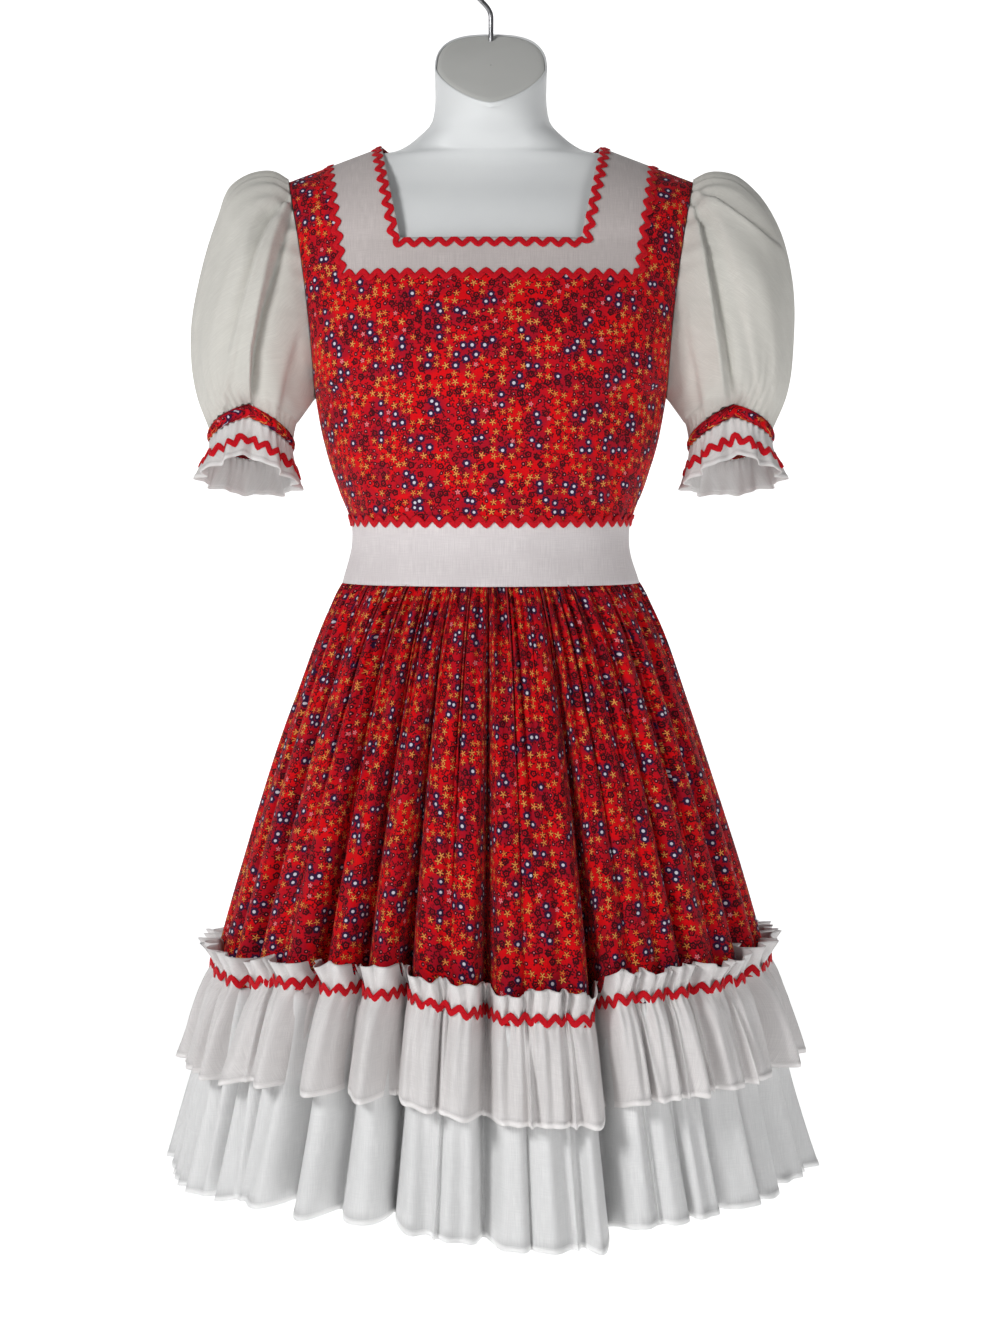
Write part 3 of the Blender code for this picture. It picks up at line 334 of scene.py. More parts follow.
wire = bpy.data.curves.new("wire_hook", "CURVE")
wire.dimensions = "3D"
wire.bevel_depth = WIRE / 2
wire.bevel_resolution = 6
wire.use_fill_caps = True
line = wire.splines.new("POLY")
points = hook_line()
line.points.add(len(points) - 1)
line.points.foreach_set("co", np.c_[points, np.ones(len(points))].ravel())
hook = bpy.data.objects.new("wire_hook", wire)
bpy.context.scene.collection.objects.link(hook)


def bright_metal(name, colour, roughness, drawn):
    """Bright metal with fine lines drawn along it, and small dull spots."""
    tree, shader, material = finish(name, roughness)
    shader.inputs["Metallic"].default_value = 1.0
    place = in_piece(tree)
    lines = grain(place, 1.0, 2.0, drawn)
    worn = eased(grain(place, 120.0), 0.45, 0.75)
    dull = tuple(0.72 * part for part in colour[:3]) + (1,)
    tree.links.new(tinted(worn, colour, dull), shader.inputs[0])
    rough = eased(lines, 0.3, 0.7, roughness - 0.08, roughness + 0.12)
    tree.links.new(rough, shader.inputs["Roughness"])
    relief(shader, lines, 0.00002)
    return material


wire.materials.append(bright_metal("drawn_wire", (0.34, 0.34, 0.35, 1), 0.26, (4000, 4000, 60)))
stands_for(hook, "hook")

# Bodice: fine red cotton with a small dense print. The front is cut in one under the yoke,
# with a seam down from each corner of it, and the back in two halves that meet at the zip.

CLOTH = 0.0009
NECK_POINT = (0.1026, -0.1815)
SHOULDER_TIP = (0.1900, -0.2147)
UNDERARM = (0.1650, -0.4190)
NECK_EDGE = -0.2746
YOKE_EDGE = -0.3087
BAND_TOP = -0.5330
BAND_BOTTOM = -0.5920
BACK_NECK = (0.066, -0.2050)
BACK_BLADES = -0.3000
NECK_SHARE = (0.4630, 0.5400)
YOKE_SHARE = (0.7840, 0.8020)
ARMHOLE_DEPTH = 0.048
ARMHOLE_BOW = 0.0055
ZIP_HALF = 0.0042

# Height, half width, front and back of the body of the dress
GIRTHS = np.array([
    (-0.5920, 0.1400, 0.1060, 0.1060),
    (-0.5560, 0.1310, 0.0990, 0.0980),
    (-0.5330, 0.1320, 0.1000, 0.0960),
    (-0.5050, 0.1430, 0.1075, 0.0980),
    (-0.4650, 0.1560, 0.1180, 0.1020),
    (-0.4190, 0.1650, 0.1260, 0.1060),
    (-0.3800, 0.1700, 0.1280, 0.1080),
    (-0.3450, 0.1740, 0.1230, 0.1080),
    (-0.3087, 0.1780, 0.1120, 0.1050),
    (-0.2746, 0.1820, 0.0980, 0.0985),
])


def armhole(height):
    """Half width and depth of the armhole's edge at a height."""
    (x0, z0), (x1, z1) = UNDERARM, SHOULDER_TIP
    share = np.clip((height - z0) / (z1 - z0), 0.0, 1.0)
    depth = ARMHOLE_DEPTH * np.sqrt(np.maximum(0.0, 1 - (2 * share - 1) ** 2))
    return x0 + (x1 - x0) * share - ARMHOLE_BOW * 4 * share * (1 - share), depth


def stands_out(share, centre, edge, rise):
    """How far the cloth stands out, from its middle to its edge."""
    power, root = 2.0 + 0.2 * rise, 0.5 + 0.25 * rise
    return edge + (centre - edge) * np.maximum(0.0, 1 - np.abs(share) ** power) ** root


def body_points(share, height, way):
    """Points of the body below the shoulders. way is -1 in front and 1 behind."""
    half, front, back = np.moveaxis(faired(GIRTHS[:, 0], GIRTHS[:, 1:], height), -1, 0)
    rise = np.clip((height - UNDERARM[1]) / (YOKE_EDGE - UNDERARM[1]), 0.0, 1.0)
    hole_x, hole_y = armhole(height)
    near = np.clip((height - UNDERARM[1]) / 0.012, 0.0, 1.0)
    half = np.where(height > UNDERARM[1], hole_x, half)
    edge = hole_y * near
    out = stands_out(share, front if way < 0 else back, edge, rise)
    return np.stack([share * half, way * out, height + 0 * share], axis=-1)


def front_top_points(share, climb):
    """Points of the front from the neck's lower edge, climb 0, to the shoulder seam."""
    edge_height = NECK_EDGE + (SHOULDER_TIP[1] - NECK_EDGE) * climb
    half, edge = armhole(edge_height)
    x = np.abs(share) * half
    slope = (SHOULDER_TIP[1] - NECK_POINT[1]) / (SHOULDER_TIP[0] - NECK_POINT[0])
    ridge = NECK_POINT[1] + slope * (np.maximum(x, NECK_POINT[0]) - NECK_POINT[0])
    height = NECK_EDGE + (ridge - NECK_EDGE) * climb
    centre = 0.0980 * (1 - climb**1.7) ** 0.6
    return np.stack([share * half, -stands_out(share, centre, edge, 1.0), height], axis=-1)


def back_top_points(share, climb):
    """Points of the back from the shoulder blades, climb 0, to its upper edge."""
    edge_height = BACK_BLADES + (SHOULDER_TIP[1] - BACK_BLADES) * climb
    half, edge = armhole(edge_height)
    x = np.abs(share) * half
    inside = np.maximum(0.0, 1 - (x / NECK_POINT[0]) ** 2)
    slope = (SHOULDER_TIP[1] - NECK_POINT[1]) / (SHOULDER_TIP[0] - NECK_POINT[0])
    ridge = NECK_POINT[1] + slope * (np.maximum(x, NECK_POINT[0]) - NECK_POINT[0])
    drop = (NECK_POINT[1] - BACK_NECK[1]) * inside
    height = BACK_BLADES + (ridge - drop - BACK_BLADES) * climb
    blades = 0.1032
    fall = (1 - climb**2.6) ** 0.5
    out = stands_out(share, blades * fall, edge, 1.0)
    top = BACK_NECK[0] * np.sqrt(inside)
    out = np.maximum(out, top + (blades - top) * fall * inside)
    return np.stack([share * half, out, height], axis=-1)


def laid_out(grid, middle, foot=0.0):
    """Each point's place on the flat cloth, across from a middle column and up from the foot."""
    across = np.linalg.norm(np.diff(grid, axis=1), axis=2)
    across = np.concatenate([np.zeros((len(grid), 1)), np.cumsum(across, axis=1)], axis=1)
    across = across - across[:, middle : middle + 1]
    up = np.linalg.norm(np.diff(grid, axis=0), axis=2)[::-1]
    up = np.concatenate([np.zeros((1, grid.shape[1])), np.cumsum(up, axis=0)])[::-1] + foot
    return np.stack([across, up], axis=2)


def ripples(u, v, waves):
    """A sum of waves over a surface. Each is (depth, turns per metre across, down, phase)."""
    total = 0 * (u + v)
    for depth, across, down, phase in waves:
        total = total + depth * np.sin(2 * np.pi * (across * u + down * v) + phase)
    return total


def pushed(grid, distance):
    """The grid moved square to itself by a distance at each point."""
    along = np.gradient(grid, axis=1)
    down = np.gradient(grid, axis=0)
    out = np.cross(down, along)
    out /= np.maximum(np.linalg.norm(out, axis=2, keepdims=True), 1e-9)
    return grid + out * distance[..., None]


def with_wall(piece, thickness=CLOTH, lining=0):
    """Gives a sheet its thickness to the inside, with the lining's finish there."""
    wall = piece.modifiers.new("wall", "SOLIDIFY")
    wall.thickness = thickness
    wall.offset = -1.0
    wall.material_offset = lining
    return piece


PRINT_PITCH = 0.0083
GROUND_RED = (0.74, 0.001, 0.004, 1)
GROUND_CRIMSON = (0.36, 0.003, 0.018, 1)
INK_NAVY = (0.016, 0.008, 0.045, 1)
INK_MAROON = (0.026, 0.002, 0.005, 1)
INK_ORANGE = (0.86, 0.18, 0.030, 1)
INK_YELLOW = (0.90, 0.36, 0.085, 1)
INK_PINK = (0.85, 0.22, 0.24, 1)
INK_WHITE = (0.68, 0.68, 0.76, 1)
BUNCH_SCALE = 0.27  # bunches of flowers to each motif of the print, along one side
PATCH_SCALE = 0.30  # the same for the patches of dark flowers between them
PRINT_THREAD = 0.00042
FULL_TURN = 6.28


def on_cloth(tree, layout="cloth"):
    """Places on the flat cloth, in metres."""
    return fed(tree, "ShaderNodeUVMap", uv_map=layout).outputs[0]


def within(distance, reach, soft=0.022):
    """1 where a distance is less than a reach, 0 where it is more."""
    return eased(less(distance, reach), -soft, soft, 1.0, 0.0)


def petals(turn, count, inner, outer, point=1.0):
    """The reach of a shape with this many petals, by the turn round its middle."""
    wave = number("COSINE", times(turn, count))
    swell = number("MULTIPLY_ADD", wave, 0.499, 0.5)
    if point != 1.0:
        swell = number("POWER", swell, point)
    return number("MULTIPLY_ADD", swell, outer - inner, inner)


def scattered(place, scale, randomness):
    """Cells strewn over the cloth: the texture node, for its distances, middles and lots."""
    cells = fed(place.id_data, "ShaderNodeTexVoronoi", place, voronoi_dimensions="2D")
    cells.inputs["Scale"].default_value = scale
    cells.inputs["Randomness"].default_value = randomness
    return cells


def plain_weave(place, thread, slub):
    """Height of a plain weave of this thread, with slubs along and across it."""
    crossed = []
    for axis in ((1, 0, 0), (0, 1, 0)):
        along = fed(place.id_data, "ShaderNodeVectorMath", place, axis, operation="DOT_PRODUCT")
        turn = times(along.outputs["Value"], math.pi / thread)
        crossed.append(number("ABSOLUTE", number("SINE", turn)))
    weave = times(plus(*crossed), 0.5)
    upright = grain(place, 1.0, 3.0, (1500.0, 55.0, 1.0))
    level = grain(place, 1.0, 3.0, (55.0, 1500.0, 1.0))
    slubs = plus(upright, level)
    return plus(weave, times(slubs, slub)), upright, level


def flower_print(name, fade):
    """Red cotton printed with stars, ringed flowers and small sprigs. fade is for its back."""
    tree, shader, material = finish(name, 0.82, 0.03, 0.12)
    place = on_cloth(tree)
    bend = grain(place, 60.0, 1.0)
    scaled = fed(tree, "ShaderNodeVectorMath", place, operation="SCALE")
    scaled.inputs["Scale"].default_value = 1 / PRINT_PITCH
    scaled = scaled.outputs[0]

    cells = scattered(scaled, 1.0, 0.62)
    middle = cells.outputs["Position"]
    away = fed(tree, "ShaderNodeVectorMath", scaled, middle, operation="SUBTRACT").outputs[0]
    apart = parts_of(away)
    kind, spin, size = parts_of(cells.outputs["Color"])
    turn = number("ARCTAN2", apart[1], apart[0])
    turn = plus(turn, times(spin, FULL_TURN))
    grown = number("MULTIPLY_ADD", size, 0.22, 0.89)
    distance = number("DIVIDE", cells.outputs["Distance"], grown)

    # Bunches of ringed flowers, with stars on bright red or dark flowers on crimson between
    bunch_here = scattered(middle, BUNCH_SCALE, 0.85).outputs["Distance"]
    bunched = within(bunch_here, 0.92 * BUNCH_SCALE, 0.001)
    loose = less(1.0, bunched)
    dark_here = eased(grain(middle, PATCH_SCALE, 1.0), 0.519, 0.521)
    flowery = times(loose, dark_here)
    starry = less(loose, flowery)
    bunch = scattered(scaled, BUNCH_SCALE, 0.85).outputs["Distance"]
    halo = eased(bunch, 0.9 * BUNCH_SCALE, 1.7 * BUNCH_SCALE, 0.85, 0.0)
    dark = eased(grain(scaled, PATCH_SCALE, 1.0), 0.47, 0.60, 0.0, 0.55)
    ground = tinted(number("MAXIMUM", halo, dark), GROUND_RED, GROUND_CRIMSON)

    # Sprigs: short dark strokes strewn between the motifs
    strewn = scattered(scaled, 1.9, 1.0)
    sprig = fed(tree, "ShaderNodeVectorMath", scaled, strewn.outputs["Position"], operation="SUBTRACT")
    sprig_apart = parts_of(sprig.outputs[0])
    sprig_lots = parts_of(strewn.outputs["Color"])
    sprig_turn = number("ARCTAN2", sprig_apart[1], sprig_apart[0])
    sprig_turn = plus(sprig_turn, times(sprig_lots[0], FULL_TURN))
    leaf = petals(sprig_turn, 3.0, 0.045, 0.32)
    sprig_away = fed(tree, "ShaderNodeVectorMath", sprig.outputs[0], operation="LENGTH")
    strokes = within(sprig_away.outputs["Value"], leaf, 0.02)
    strokes = times(strokes, eased(sprig_lots[1], 0.28, 0.32))
    colour = tinted(times(strokes, 0.9), ground, INK_MAROON)

    def chosen(low, high, where):
        """1 in the cells whose lot falls between two limits, in one sort of patch."""
        from_low = number("GREATER_THAN", kind, low)
        to_high = number("LESS_THAN", kind, high)
        return times(times(from_low, to_high), where)

    def inked(shape, cells_chosen, ink, below):
        """The colour below with this ink over it, inside a shape in the cells chosen."""
        return tinted(times(shape, cells_chosen), below, ink)

    stars = plus(chosen(-1.0, 0.64, starry), chosen(0.84, 2.0, flowery))
    pink_stars = plus(chosen(0.64, 0.69, starry), chosen(0.79, 0.84, flowery))
    ringed = chosen(-1.0, 0.88, bunched)
    outlined = plus(chosen(0.69, 0.85, starry), chosen(-1.0, 0.40, flowery))
    outlined = plus(outlined, chosen(0.88, 2.0, bunched))
    dots = plus(chosen(0.85, 2.0, starry), chosen(0.40, 0.79, flowery))

    # Orange and yellow stars on a dark rim
    rim = petals(turn, 5.0, 0.19, 0.42, 1.3)
    colour = inked(times(within(distance, rim), 0.92), stars, INK_MAROON, colour)
    ray_ink = tinted(size, INK_ORANGE, INK_YELLOW)
    colour = inked(within(distance, petals(turn, 5.0, 0.085, 0.375, 1.7)), stars, ray_ink, colour)

    # Small pink stars, also on a dark rim
    edge = petals(turn, 5.0, 0.20, 0.34)
    colour = inked(within(distance, edge), pink_stars, INK_MAROON, colour)
    colour = inked(within(distance, petals(turn, 5.0, 0.14, 0.29)), pink_stars, INK_PINK, colour)
    colour = inked(within(distance, 0.06), pink_stars, GROUND_RED, colour)

    # Navy flowers with a white middle
    colour = inked(within(distance, petals(turn, 7.0, 0.40, 0.48)), ringed, INK_NAVY, colour)
    colour = inked(within(distance, 0.17), ringed, INK_WHITE, colour)

    # Flowers in a dark outline
    edge = petals(turn, 5.0, 0.235, 0.315)
    band = number("ABSOLUTE", less(distance, edge))
    colour = inked(within(band, 0.10), outlined, INK_MAROON, colour)
    colour = inked(within(distance, 0.085), outlined, INK_MAROON, colour)

    # Dark dots with a pink middle
    colour = inked(within(distance, 0.225), dots, INK_MAROON, colour)
    colour = inked(within(distance, 0.075), dots, INK_PINK, colour)

    # The weave shows through the ink
    weave, upright, level = plain_weave(place, PRINT_THREAD, 0.5)
    slub_tone = eased(plus(upright, level), 0.7, 1.3)
    colour = tinted(times(slub_tone, 0.14), colour, INK_MAROON)
    colour = tinted(times(bend, 0.10), colour, GROUND_CRIMSON)
    if fade:
        colour = tinted(0.45, colour, (0.42, 0.05, 0.06, 1))
    tree.links.new(colour, shader.inputs[0])
    relief(shader, weave, 0.00012)
    return material


printed = flower_print("red_flower_print", False)
printed_back = flower_print("red_print_wrong_side", True)


def front_columns(rise, inner, strap, side):
    """Shares of the half width for the front's columns, with the yoke's edges among them."""
    neck = NECK_SHARE[0] + (NECK_SHARE[1] - NECK_SHARE[0]) * rise
    yoke = YOKE_SHARE[0] + (YOKE_SHARE[1] - YOKE_SHARE[0]) * rise
    half = np.concatenate([
        np.linspace(0, neck, inner + 1)[1:],
        np.linspace(neck, yoke, strap + 1)[1:],
        yoke + (1 - yoke) * np.sin(np.linspace(0, np.pi / 2, side + 1)[1:]),
    ])
    return np.concatenate([-half[::-1], [0.0], half])


# Columns within the neck, on the yoke's strap and beside it, for half of the front, and
# rows beside the neck, on the yoke under it and below the yoke
INNER, STRAP, SIDE = 34, 26, 30
TOP_ROWS, BIB_ROWS, LOW_ROWS = 34, 12, 62
PUCKERS, PUCKER = 48, 0.0009  # puckers to a metre over the waistband, and their depth
SEAM_DEPTH, SEAM_WIDTH = 0.0007, 0.0011
front_grid = []
for climb in np.sin(np.linspace(np.pi / 2, 0, TOP_ROWS + 1))[:-1] ** 0.8:
    front_grid.append(front_top_points(front_columns(climb, INNER, STRAP, SIDE), climb))
chest_columns = front_columns(0.0, INNER, STRAP, SIDE)
front_heights = np.concatenate([
    np.linspace(NECK_EDGE, YOKE_EDGE, BIB_ROWS + 1)[:-1],
    np.linspace(YOKE_EDGE, BAND_TOP, LOW_ROWS + 1),
])
for height in front_heights:
    front_grid.append(body_points(chest_columns, np.full(chest_columns.shape, height), -1))
front_grid = np.array(front_grid)
front_flat = laid_out(front_grid, INNER + STRAP + SIDE)
down = np.clip((front_grid[..., 2] - BAND_TOP) / (YOKE_EDGE - BAND_TOP), 0, 1)
slack = np.sin(np.pi * np.clip(down, 0, 1)) ** 0.8 * (1 - np.abs(chest_columns) ** 6)
worn_in = ripples(
    front_flat[..., 0],
    front_flat[..., 1],
    [(0.0007, 13.0, 1.5, 0.4), (0.0006, 21.0, -3.0, 2.0), (0.0005, 4.0, 17.0, 1.1)],
)
near_band = np.exp(-(front_grid[..., 2] - BAND_TOP) / 0.030) * (front_grid[..., 2] < YOKE_EDGE)
places = front_flat[..., 0]
pulled_in = PUCKER * np.sin(places * 2 * np.pi * PUCKERS + 3 * np.sin(places * 31))
from_seam = np.abs(np.abs(chest_columns) - YOKE_SHARE[0]) * 0.17
seam = -SEAM_DEPTH * np.exp(-((from_seam / SEAM_WIDTH) ** 2))
seam = seam * (front_grid[..., 2] < YOKE_EDGE + 0.001)
front_grid = pushed(front_grid, worn_in * slack + pulled_in * near_band + seam)

row = np.arange(len(front_grid))[:, None]
column = np.arange(front_grid.shape[1])[None, :]
off_yoke = (column < SIDE) | (column >= SIDE + 2 * (STRAP + INNER))
below_yoke = row >= TOP_ROWS + BIB_ROWS
in_neck = (column >= SIDE + STRAP) & (column < SIDE + STRAP + 2 * INNER) & (row < TOP_ROWS)
print_cells = off_yoke | below_yoke
yoke_cells = ~print_cells & ~in_neck

front_mesh = woven_mesh("bodice_front_print", front_grid, front_flat, print_cells)
bodice_front = with_wall(shown("bodice_front_print", front_mesh, printed, printed_back), lining=1)
stands_for(bodice_front, "bodice_front")

BACK_COLUMNS = 60
back_shares = np.sin(np.linspace(0, np.pi / 2, BACK_COLUMNS))
back_grid = []
for climb in np.sin(np.linspace(np.pi / 2, 0, 41))[:-1] ** 0.8:
    half = armhole(BACK_BLADES + (SHOULDER_TIP[1] - BACK_BLADES) * climb)[0]
    back_grid.append(back_top_points(-(ZIP_HALF / half + back_shares * (1 - ZIP_HALF / half)), climb))
for height in np.linspace(BACK_BLADES, BAND_TOP, 66):
    share = -(0.024 + back_shares * 0.976)
    back_grid.append(body_points(share, np.full(share.shape, height), 1))
back_grid = np.array(back_grid)
back_grid[:, 0, 0] = -ZIP_HALF
back_flat = laid_out(back_grid, 0) + np.array([0.9, 0.013])
slack = np.sin(np.pi * np.clip((back_grid[..., 2] - BAND_TOP) / 0.28, 0, 1)) ** 0.8
slack *= np.clip(back_shares * 6, 0, 1) * (1 - back_shares**6)
worn_in = ripples(
    back_flat[..., 0],
    back_flat[..., 1],
    [(0.0008, 12.0, 2.5, 0.9), (0.0006, 19.0, -4.0, 0.1), (0.0006, 3.0, 15.0, 2.1)],
)
back_grid = pushed(back_grid, worn_in * slack)


def other_side(grid):
    """The same panel on the other side of the dress."""
    return grid[:, ::-1] * np.array([-1.0, 1.0, 1.0])


backs = []
for side, grid, flat in (
    ("left", back_grid, back_flat),
    ("right", other_side(back_grid), back_flat[:, ::-1] * np.array([-1.0, 1.0]) + 0.4),
):
    name = "bodice_back_print_" + side
    mesh = woven_mesh(name, grid, flat)
    panel = with_wall(shown(name, mesh, printed, printed_back), lining=1)
    stands_for(panel, "bodice_back_" + side)
    backs.append(panel)

# Yoke: a square inset of white slub cotton round the neck, lined with the same cloth. Its
# outer edge is sewn to the bodice under rickrack.

# The yoke's colours are darker than the waistband's, though the two are one cloth: the yoke's colours carry
# painted shade.
YOKE_WHITE_PAINTED_SHADE = (0.60, 0.545, 0.53, 1)
YOKE_SHADE = (0.50, 0.450, 0.44, 1)
WHITE_THREAD = 0.00046
STITCH_LENGTH = 0.0026
LINED = 0.0012  # thickness of two layers of cotton


def white_cotton(name, light, shade, hem=0.0):
    """White slub cotton. A hem this deep at the foot of the cloth is doubled and stitched."""
    tree, shader, material = finish(name, 0.80, 0.12, 0.25)
    place = on_cloth(tree)
    weave, upright, level = plain_weave(place, WHITE_THREAD, 0.9)
    streaks = number("MULTIPLY_ADD", level, 0.55, upright)
    clouds = grain(place, 34.0, 2.0)
    tone = eased(streaks, 0.62, 0.98)
    tone = times(tone, eased(clouds, 0.25, 0.8, 0.5, 1.0))
    colour = tinted(tone, shade, light)
    height = weave
    if hem:
        across, up, _ = parts_of(place)
        doubled = eased(up, hem - 0.0002, hem + 0.0002, 1.0, 0.0)
        bright = tuple(min(1.0, 1.12 * part) for part in light[:3]) + (1,)
        colour = tinted(times(doubled, 0.8), colour, bright)
        from_row = less(up, hem - 0.0008)
        row_of = within(number("ABSOLUTE", from_row), 0.00022, 0.0001)
        step = number("SINE", times(across, 2 * math.pi / STITCH_LENGTH))
        stitch = times(row_of, eased(step, -0.6, -0.2))
        # The stitches are painted with the cloth's darker colour: painted shade in their dents.
        colour = tinted(times(stitch, 0.45), colour, shade)
        height = plus(height, times(stitch, -1.6))
    tree.links.new(colour, shader.inputs[0])
    relief(shader, height, 0.00014)
    return material


slub_cotton = white_cotton("yoke_slub_cotton_painted_shade", YOKE_WHITE_PAINTED_SHADE, YOKE_SHADE)
yoke_mesh = woven_mesh("yoke_cotton", front_grid, front_flat, yoke_cells)
yoke = with_wall(shown("yoke_cotton", yoke_mesh, slub_cotton), LINED)
stands_for(yoke, "yoke")

# Waistband: a straight band of the same white cotton, fitted round the waist and sewn to
# the bodice above and the skirt below. It is open at the zip.

BAND_COLUMNS, BAND_ROWS = 260, 18
band_heights = np.linspace(BAND_TOP, BAND_BOTTOM, BAND_ROWS)
band_start = math.asin(ZIP_HALF / 0.135)
around = np.linspace(-math.pi + band_start, math.pi - band_start, BAND_COLUMNS)
band_girth = faired(GIRTHS[:, 0], GIRTHS[:, 1:], band_heights)
depth = np.where(np.abs(around) < np.pi / 2, band_girth[:, 1:2], band_girth[:, 2:3])
band_grid = np.stack([
    band_girth[:, :1] * np.sin(around),
    -depth * np.cos(around),
    band_heights[:, None] + 0 * around,
], axis=2)
band_flat = laid_out(band_grid, BAND_COLUMNS // 2, 1.3)
band_waves = [(0.0005, 9.0, 6.0, 0.3), (0.0004, 17.0, -5.0, 1.9)]
soft = ripples(band_flat[..., 0], band_flat[..., 1], band_waves)
band_grid = pushed(band_grid, soft * np.sin(np.linspace(0, np.pi, BAND_ROWS))[:, None])
band_mesh = woven_mesh("waistband_cotton", band_grid, band_flat)
# This copy of the yoke's cloth is lighter than the yoke's; the difference is painted shade on the yoke.
band_cotton = white_cotton("band_slub_cotton", (0.79, 0.745, 0.745, 1), (0.67, 0.625, 0.63, 1))
waistband = with_wall(shown("waistband_cotton", band_mesh, band_cotton), LINED)
stands_for(waistband, "waistband")

# Skirt: two wide panels of the printed cotton, joined at the sides and gathered to the
# waistband in fine pleats, which run together into deep folds towards the edge.

SKIRT_DROP = 0.365
STITCH_DROP = 0.359  # from the waistband to the stitching of the upper ruffle
# Drop below the band, half width and half depth
FLARES = np.array([
    (-0.004, 0.1370, 0.1030),
    (0.000, 0.1400, 0.1060),
    (0.028, 0.1545, 0.1220),
    (0.112, 0.1855, 0.1550),
    (0.240, 0.2265, 0.1960),
    (0.339, 0.2545, 0.2230),
    (0.365, 0.2610, 0.2290),
])
# Angle from the front, depth at the edge, ridges of cloth up to the next deep fold, and the
# angle by which the valley slips sideways under a neighbour
DEEP_FOLDS = [
    (-90.0, 0.016, 3, 0.0), (-62.5, 0.044, 2, 0.4), (-41.6, 0.046, 1, 0.6),
    (-30.2, 0.042, 1, 0.5), (-19.5, 0.048, 2, 0.7), (-0.6, 0.046, 3, -0.6),
    (24.8, 0.060, 3, -1.0), (47.5, 0.020, 2, -0.3), (68.0, 0.036, 2, -0.6),
    (90.0, 0.016, 2, 0.0), (107.0, 0.038, 2, 0.5), (124.5, 0.042, 2, 0.6),
    (142.0, 0.036, 2, 0.4), (160.0, 0.044, 2, 0.6), (180.0, 0.004, 2, 0.0),
    (200.0, 0.044, 2, -0.6), (218.0, 0.036, 2, -0.4), (236.0, 0.046, 2, -0.6),
    (254.0, 0.036, 2, -0.4),
]
SHALLOW_FOLD = 0.0085
FOLD_TURN = 0.42  # how far the folds turn from square to the hem, to run from front to back
# Angle and how much lower the edge hangs there
SAGS = np.array([
    (-90, -0.005), (-64, -0.001), (-50, -0.012), (-18, -0.009), (0, 0.007), (22, 0.012),
    (28, -0.005), (50, -0.005), (90, -0.009), (130, 0.005), (180, -0.002), (230, 0.006),
    (270, -0.005),
])


def ridge_table():
    """Each ridge of cloth: where it starts, how wide it is, and the valleys beside it."""
    ridges = []
    ends = DEEP_FOLDS[1:] + [(270.0, *DEEP_FOLDS[0][1:])]
    for (angle, depth, count, slip), (end, next_depth, _, next_slip) in zip(DEEP_FOLDS, ends):
        pitch = (end - angle) / count
        for k in range(count):
            left = (depth, slip) if k == 0 else (SHALLOW_FOLD, 0.0)
            right = (next_depth, next_slip) if k == count - 1 else (SHALLOW_FOLD, 0.0)
            ridges.append((angle + k * pitch, pitch, left[0], right[0], left[1], right[1]))
    return np.array(ridges)


RIDGES = ridge_table()
FRONT_RIDGES = int(np.sum(RIDGES[:, 0] < 89.9))
chance = np.random.default_rng(7)


def hanging(per_ridge, levels, half_width, half_depth, fold, pinch, waves=(), creases=()):
    """Rings of hanging cloth with the skirt's folds in it.

    levels are the heights; half_width, half_depth, fold and pinch have one value a level.
    pinch narrows the valleys. waves are (turns per ridge, depth at each level, lots) and
    push the cloth in and out between the folds. creases are (place, width and drift in
    ridges, depth at each level), and are narrow valleys that run down the cloth.
    """
    t = np.arange(per_ridge) / per_ridge
    start, pitch, left, right, slip_left, slip_right = (RIDGES[:, i, None] for i in range(6))
    low = 0.5 + 0.5 * np.cos(2 * np.pi * t)
    dip = np.where(t < 0.5, left, right) * low
    slip = np.where(t < 0.5, slip_left, slip_right) * low**1.5
    cloth = (np.arange(len(RIDGES))[:, None] + t).ravel()
    columns = np.append(cloth, len(RIDGES))
    dip = np.append(dip.ravel(), dip[0, 0])
    slip = np.append(slip.ravel(), slip[0, 0])
    begin = np.append((start + 0 * t).ravel(), 270.0)
    wide = np.append((pitch + 0 * t).ravel(), 0.0)
    t = np.append(np.tile(t, len(RIDGES)), 0.0)
    pinch, fold = np.asarray(pinch)[:, None], np.asarray(fold)[:, None]
    angle = begin + wide * (t - pinch * np.sin(2 * np.pi * t) / (2 * np.pi)) + slip * fold**1.3
    out = -dip * fold
    for turns, depth, lots in waves:
        lot = np.interp(columns * turns, np.arange(len(lots)), lots)
        out = out + np.asarray(depth)[:, None] * lot * np.cos(2 * np.pi * turns * columns)
    down = np.linspace(0, 1, len(out))[:, None]
    for place, wide, drift, depth in creases:
        gap = np.abs(columns - place - drift * down)
        gap = np.minimum(gap, len(RIDGES) - gap)
        out = out - np.asarray(depth)[:, None] * np.exp(-((gap / wide) ** 2))
    turn = np.radians(angle)
    half_width, half_depth = np.asarray(half_width)[:, None], np.asarray(half_depth)[:, None]
    reach = 1 / np.hypot(np.sin(turn) / half_width, np.cos(turn) / half_depth)
    way = turn - FOLD_TURN * np.sin(2 * turn)
    levels = np.asarray(levels)[:, None]
    share = np.clip((BAND_BOTTOM - levels) / STITCH_DROP, 0, 1)
    height = levels - np.interp(angle, SAGS[:, 0], SAGS[:, 1]) * share
    x = reach * np.sin(turn) + out * np.sin(way)
    y = -reach * np.cos(turn) - out * np.cos(way)
    return np.stack([x, y, height], axis=2)


def lots(turns, low, high):
    """A strength by chance for each wave all round, the same at both ends."""
    drawn = chance.uniform(low, high, int(turns * len(RIDGES)) + 1)
    drawn[-1] = drawn[0]
    return drawn


def narrow_creases(count, deepest, depth_at, wide=(0.055, 0.10)):
    """Creases at places by chance. depth_at gives the share of its depth by how long each is."""
    made = []
    for place in (np.arange(count) + chance.uniform(-0.42, 0.42, count)) * len(RIDGES) / count:
        depth = deepest * chance.uniform(0.35, 1.0)
        long = chance.uniform(0.0, 1.0) ** 1.5
        made.append((place, chance.uniform(*wide), chance.uniform(-0.25, 0.25), depth * depth_at(long)))
    return made


